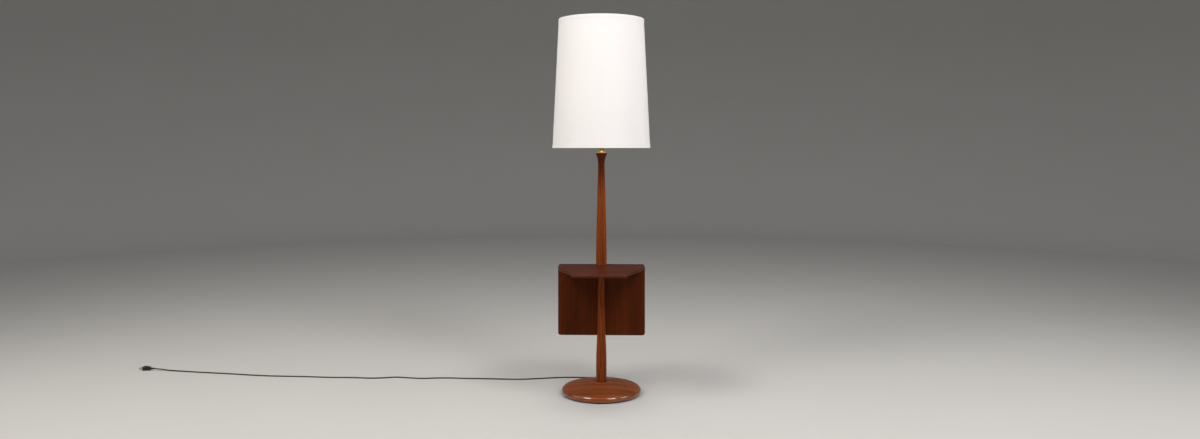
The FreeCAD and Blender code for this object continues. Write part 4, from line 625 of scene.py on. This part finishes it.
def bulb_screw_cap():
    """The bulb's rolled cap: insulator cone, round thread, plain skirt."""
    low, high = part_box("bulb_cap")
    radius = high[0]
    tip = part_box("bulb_tip")[1][0]
    cone = low[2] + CAP_CONE_HEIGHT
    top, thread_top = high[2], high[2] - CAP_SKIRT_HEIGHT
    profile = [(tip, low[2]), (radius * CAP_CONE_SHARE, cone)]
    profile += [(radius, cone + (thread_top - cone) * row / CAP_THREAD_ROWS)
                for row in range(CAP_THREAD_ROWS + 1)]
    profile += [(radius * CAP_SKIRT_SHARE, thread_top + CAP_STEP_DOWN),
                (radius * CAP_SKIRT_SHARE, top)]
    mesh = lathe_with_thread("bulb_screw_cap", profile, CAP_THREAD_PITCH, CAP_THREAD_DEPTH,
                             (cone, thread_top))
    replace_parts(add_piece("bulb_screw_cap", mesh, "bulb_metal", "stand"), "bulb_cap")


# The cloth's radius under the top trim, as the CAD's shade_skin has it.
SHADE_TOP_RADIUS = 0.1678
SEAM_HALF_WIDTH = 0.006
SEAM_RISE = 0.0007
SEAM_EDGE_SHARE = 0.1
SEAM_ROWS, SEAM_COLUMNS = 24, 6


def shade_seam():
    """The overlap where the shade's cloth meets, at the back. Its two edges lie down."""
    low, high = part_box("shade_skin")
    bottom, top = low[2], high[2]
    points, faces = [], []
    for row in range(SEAM_ROWS + 1):
        part = row / SEAM_ROWS
        height = bottom + (top - bottom) * part
        radius = SHADE_RADIUS + (SHADE_TOP_RADIUS - SHADE_RADIUS) * part
        for column in range(SEAM_COLUMNS + 1):
            across = (column / SEAM_COLUMNS - 0.5) * 2
            angle = QUARTER + across * SEAM_HALF_WIDTH / radius
            at_edge = column in (0, SEAM_COLUMNS)
            reach = radius + SEAM_RISE * (SEAM_EDGE_SHARE if at_edge else 1)
            points.append((reach * math.cos(angle), reach * math.sin(angle), height))
    for row in range(SEAM_ROWS):
        for column in range(SEAM_COLUMNS):
            first = row * (SEAM_COLUMNS + 1) + column
            above = first + SEAM_COLUMNS + 1
            faces.append((first, above, above + 1, first + 1))
    add_piece("shade_seam", smooth_mesh("shade_seam", points, faces), "shade_cloth", "shade")


PLUG_HEADING = math.radians(177.0)
GRIP_SIZE = (0.012, 0.0014, 0.0008, 1)
GRIP_COUNT = 4
GRIP_START, GRIP_STEP = 0.004, 0.0032
GRIP_LIFT = 0.0001
GRIP_ROUNDING = 0.0003


def plug_grips():
    """Low finger ribs on both flat sides of the plug."""
    low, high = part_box("plug_body")
    centre = (Vector(low) + Vector(high)) / 2
    out = Vector((math.cos(PLUG_HEADING), math.sin(PLUG_HEADING), 0))
    turn = Matrix(((-out.y, out.x, 0, 0), (out.x, out.y, 0, 0), (0, 0, 1, 0), (0, 0, 0, 1)))
    shell = bmesh.new()
    for level in (high[2] + GRIP_LIFT, low[2] - GRIP_LIFT):
        for step in range(GRIP_COUNT):
            place = centre + out * (GRIP_START + GRIP_STEP * step)
            place.z = level
            where = Matrix.Translation(place) @ turn @ Matrix.Diagonal(GRIP_SIZE)
            made = bmesh.ops.create_cube(shell, size=1.0, matrix=where)
            edges = list({edge for vertex in made["verts"] for edge in vertex.link_edges})
            bmesh.ops.bevel(shell, geom=edges, offset=GRIP_ROUNDING, segments=2, profile=0.5,
                            affect="EDGES")
    mesh = bpy.data.meshes.new("plug_grips")
    shell.to_mesh(mesh)
    shell.free()
    return add_piece("plug_grips", mesh, "moulded_black", "stand")


LEAD_RADIUS = 0.0025
LEAD_ROUTE = [
    (0, 0.177, 0.012), (-0.0015, 0.193, 0.0112), (-0.008, 0.208, 0.0066), (-0.022, 0.219, 0.003),
    (-0.045, 0.224, 0.0026), (-0.095, 0.2285, 0.0026), (-0.150, 0.229, 0.0026),
    (-0.206, 0.221, 0.0026), (-0.266, 0.206, 0.0026), (-0.330, 0.193, 0.0026),
    (-0.392, 0.191, 0.0026), (-0.452, 0.197, 0.0026), (-0.512, 0.1995, 0.0026),
    (-0.572, 0.199, 0.0026), (-0.632, 0.206, 0.0026), (-0.692, 0.206, 0.0026),
    (-0.754, 0.194, 0.0026), (-0.814, 0.203, 0.0026), (-0.868, 0.217, 0.0026),
    (-0.922, 0.200, 0.0026), (-0.980, 0.193, 0.0026), (-1.042, 0.204, 0.0026),
    (-1.106, 0.203, 0.0026), (-1.170, 0.204, 0.0026), (-1.236, 0.212, 0.0026),
    (-1.302, 0.216, 0.0026), (-1.370, 0.2175, 0.0026), (-1.438, 0.223, 0.0026),
    (-1.506, 0.235, 0.0026), (-1.572, 0.248, 0.0026), (-1.636, 0.2595, 0.0026),
    (-1.700, 0.269, 0.0026), (-1.762, 0.2795, 0.0026), (-1.822, 0.2905, 0.0026),
    (-1.880, 0.301, 0.0030), (-1.924, 0.3078, 0.0064), (-1.9560, 0.3102, 0.0086),
]


def loose_lead(grips):
    """The lead from the bushing to the plug, on the same route as its CAD node."""
    curve = bpy.data.curves.new("lead", "CURVE")
    curve.dimensions = "3D"
    curve.bevel_depth = LEAD_RADIUS
    curve.bevel_resolution = 8
    curve.use_fill_caps = True
    spline = curve.splines.new("NURBS")
    spline.points.add(len(LEAD_ROUTE) - 1)
    for point, place in zip(spline.points, LEAD_ROUTE):
        point.co = (*place, 1)
    spline.order_u = 3
    spline.use_endpoint_u = True
    spline.resolution_u = 12
    lead = add_piece("lead", curve, "cord_jacket", "stand")
    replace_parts(lead, "power_cord")


bulb_screw_cap()
shade_seam()
loose_lead(plug_grips())


# ---------------------------------------------------------------- studio

def paper_material():
    """Pale matt paper that is clear from behind, so that views from below see the lamp."""
    made, tree, shader, end, place = start_material("stage_paper")
    mottle = maths(tree, "MULTIPLY", stretched_noise(tree, place, (2, 2, 2), 4), 0.05)
    colour = blend(tree, mottle, linear(192, 189, 184), (1, 1, 1, 1))
    set_inputs(tree, shader, {"Base Color": colour, "Roughness": 0.8, "Specular IOR Level": 0.2})
    back = node(tree, "NewGeometry").outputs["Backfacing"]
    clear = node(tree, "BsdfTransparent")
    mixed = node(tree, "MixShader", {0: back, 1: shader.outputs[0], 2: clear.outputs[0]})
    tree.links.new(mixed.outputs[0], end.inputs["Surface"])
    return made


def turned_stage(name, outline, material, sides=96):
    """A surface turned about Z from (radius, height) points, seen from inside and above."""
    points, faces = [], []
    for side in range(sides):
        angle = FULL_TURN * side / sides
        points += [(r * math.cos(angle), r * math.sin(angle), z) for r, z in outline]
    rows = len(outline)
    for side in range(sides):
        first, after = side * rows, (side + 1) % sides * rows
        for row in range(rows - 1):
            faces.append((first + row, first + row + 1, after + row + 1, after + row))
    mesh = smooth_mesh(name, points, faces)
    mesh.materials.append(material)
    stage = put_in_scene(name, mesh)
    return stage


FLOOR_LEVEL = -0.0004
FLOOR_RINGS = (0.0, 0.5, 2.0, 6.5)
WALL_BEND = 2.5
WALL_TOP = 12.0
BEND_STEPS = 16


def round_studio():
    """A pale floor, and round it a wall of the same paper that lets the world's light in.

    The floor lies just under the felt, so that the two faces don't fight.
    """
    paper = paper_material()
    turned_stage("floor", [(radius, FLOOR_LEVEL) for radius in FLOOR_RINGS], paper)
    outline = []
    for step in range(BEND_STEPS + 1):
        angle = QUARTER * step / BEND_STEPS
        outline.append((FLOOR_RINGS[-1] + WALL_BEND * math.sin(angle),
                        FLOOR_LEVEL + WALL_BEND - WALL_BEND * math.cos(angle)))
    outline.append((FLOOR_RINGS[-1] + WALL_BEND, WALL_TOP))
    wall = turned_stage("wall", outline, paper)
    wall.visible_diffuse = False
    wall.visible_shadow = False


def softbox(name, place, target, size, power, tint):
    """A rectangular area lamp that looks from its place to a target."""
    data = bpy.data.lights.new(name, "AREA")
    data.shape = "RECTANGLE"
    data.size, data.size_y = size
    data.energy = power
    data.color = tint
    light = put_in_scene(name, data)
    light.location = place
    aim = Vector(target) - Vector(place)
    light.rotation_euler = aim.to_track_quat("-Z", "Y").to_euler()


SKY_STRENGTH = 0.26
SKY_TINT = (0.95, 0.97, 1.0, 1)
NEUTRAL = (1.0, 1.0, 1.0)
WAIST = (0, 0, 0.7)


def studio_light():
    """A soft sky that is brightest overhead, two key lamps, two side lamps and one above."""
    world = bpy.data.worlds.new("studio")
    world.use_nodes = True
    tree = world.node_tree
    aim = split_axes(tree, node(tree, "TexCoord").outputs["Generated"])["Z"]
    sky = ramp(tree, aim, (0.0, 0.25), (0.25, 0.3), (0.8, 1.0))
    sky = blend(tree, 1.0, sky, SKY_TINT, mode="MULTIPLY")
    set_inputs(tree, tree.nodes["Background"], {"Color": sky, "Strength": SKY_STRENGTH})
    bpy.context.scene.world = world
    softbox("key_left", place=(-2.35, -2.05, 3.2), target=WAIST, size=(1.3, 1.3), power=74,
            tint=(1.0, 0.97, 0.93))
    softbox("key_right", place=(1.85, -2.45, 3.2), target=WAIST, size=(1.3, 1.3), power=74,
            tint=(0.98, 0.98, 1.0))
    softbox("side_left", place=(-3.1, -0.6, 2.0), target=WAIST, size=(1.4, 1.4), power=14,
            tint=(1.0, 0.98, 0.95))
    softbox("side_right", place=(3.1, -0.8, 2.0), target=WAIST, size=(1.4, 1.4), power=26,
            tint=NEUTRAL)
    softbox("overhead", place=(0.0, -0.6, 3.9), target=(0, 0, 0.6), size=(1.6, 1.4), power=46,
            tint=NEUTRAL)


# The photograph was taken with its camera level with the shade's lower edge.
FRAME_WIDTH = 1200
FOCAL_PIXELS = 890
SENSOR = 36.0
DISTANCE = 3.515
EYE_HEIGHT = 0.966
LAMP_TURN = math.radians(1.4)
HORIZON_ABOVE_CENTRE = 71.1
AXIS_RIGHT_OF_CENTRE = 1.35
FAR_CLIP = 100


def camera():
    """The level camera of the photograph, with its frame shifted down to hold the lamp."""
    data = bpy.data.cameras.new("camera")
    data.sensor_width = SENSOR
    data.lens = SENSOR * FOCAL_PIXELS / FRAME_WIDTH
    data.shift_y = -HORIZON_ABOVE_CENTRE / FRAME_WIDTH
    data.shift_x = -AXIS_RIGHT_OF_CENTRE / FRAME_WIDTH
    data.clip_end = FAR_CLIP
    made = put_in_scene("camera", data)
    made.location = (DISTANCE * math.sin(LAMP_TURN), -DISTANCE * math.cos(LAMP_TURN), EYE_HEIGHT)
    made.rotation_euler = (QUARTER, 0, LAMP_TURN)
    bpy.context.scene.camera = made


round_studio()
studio_light()
camera()
bpy.context.scene.view_settings.view_transform = "Standard"
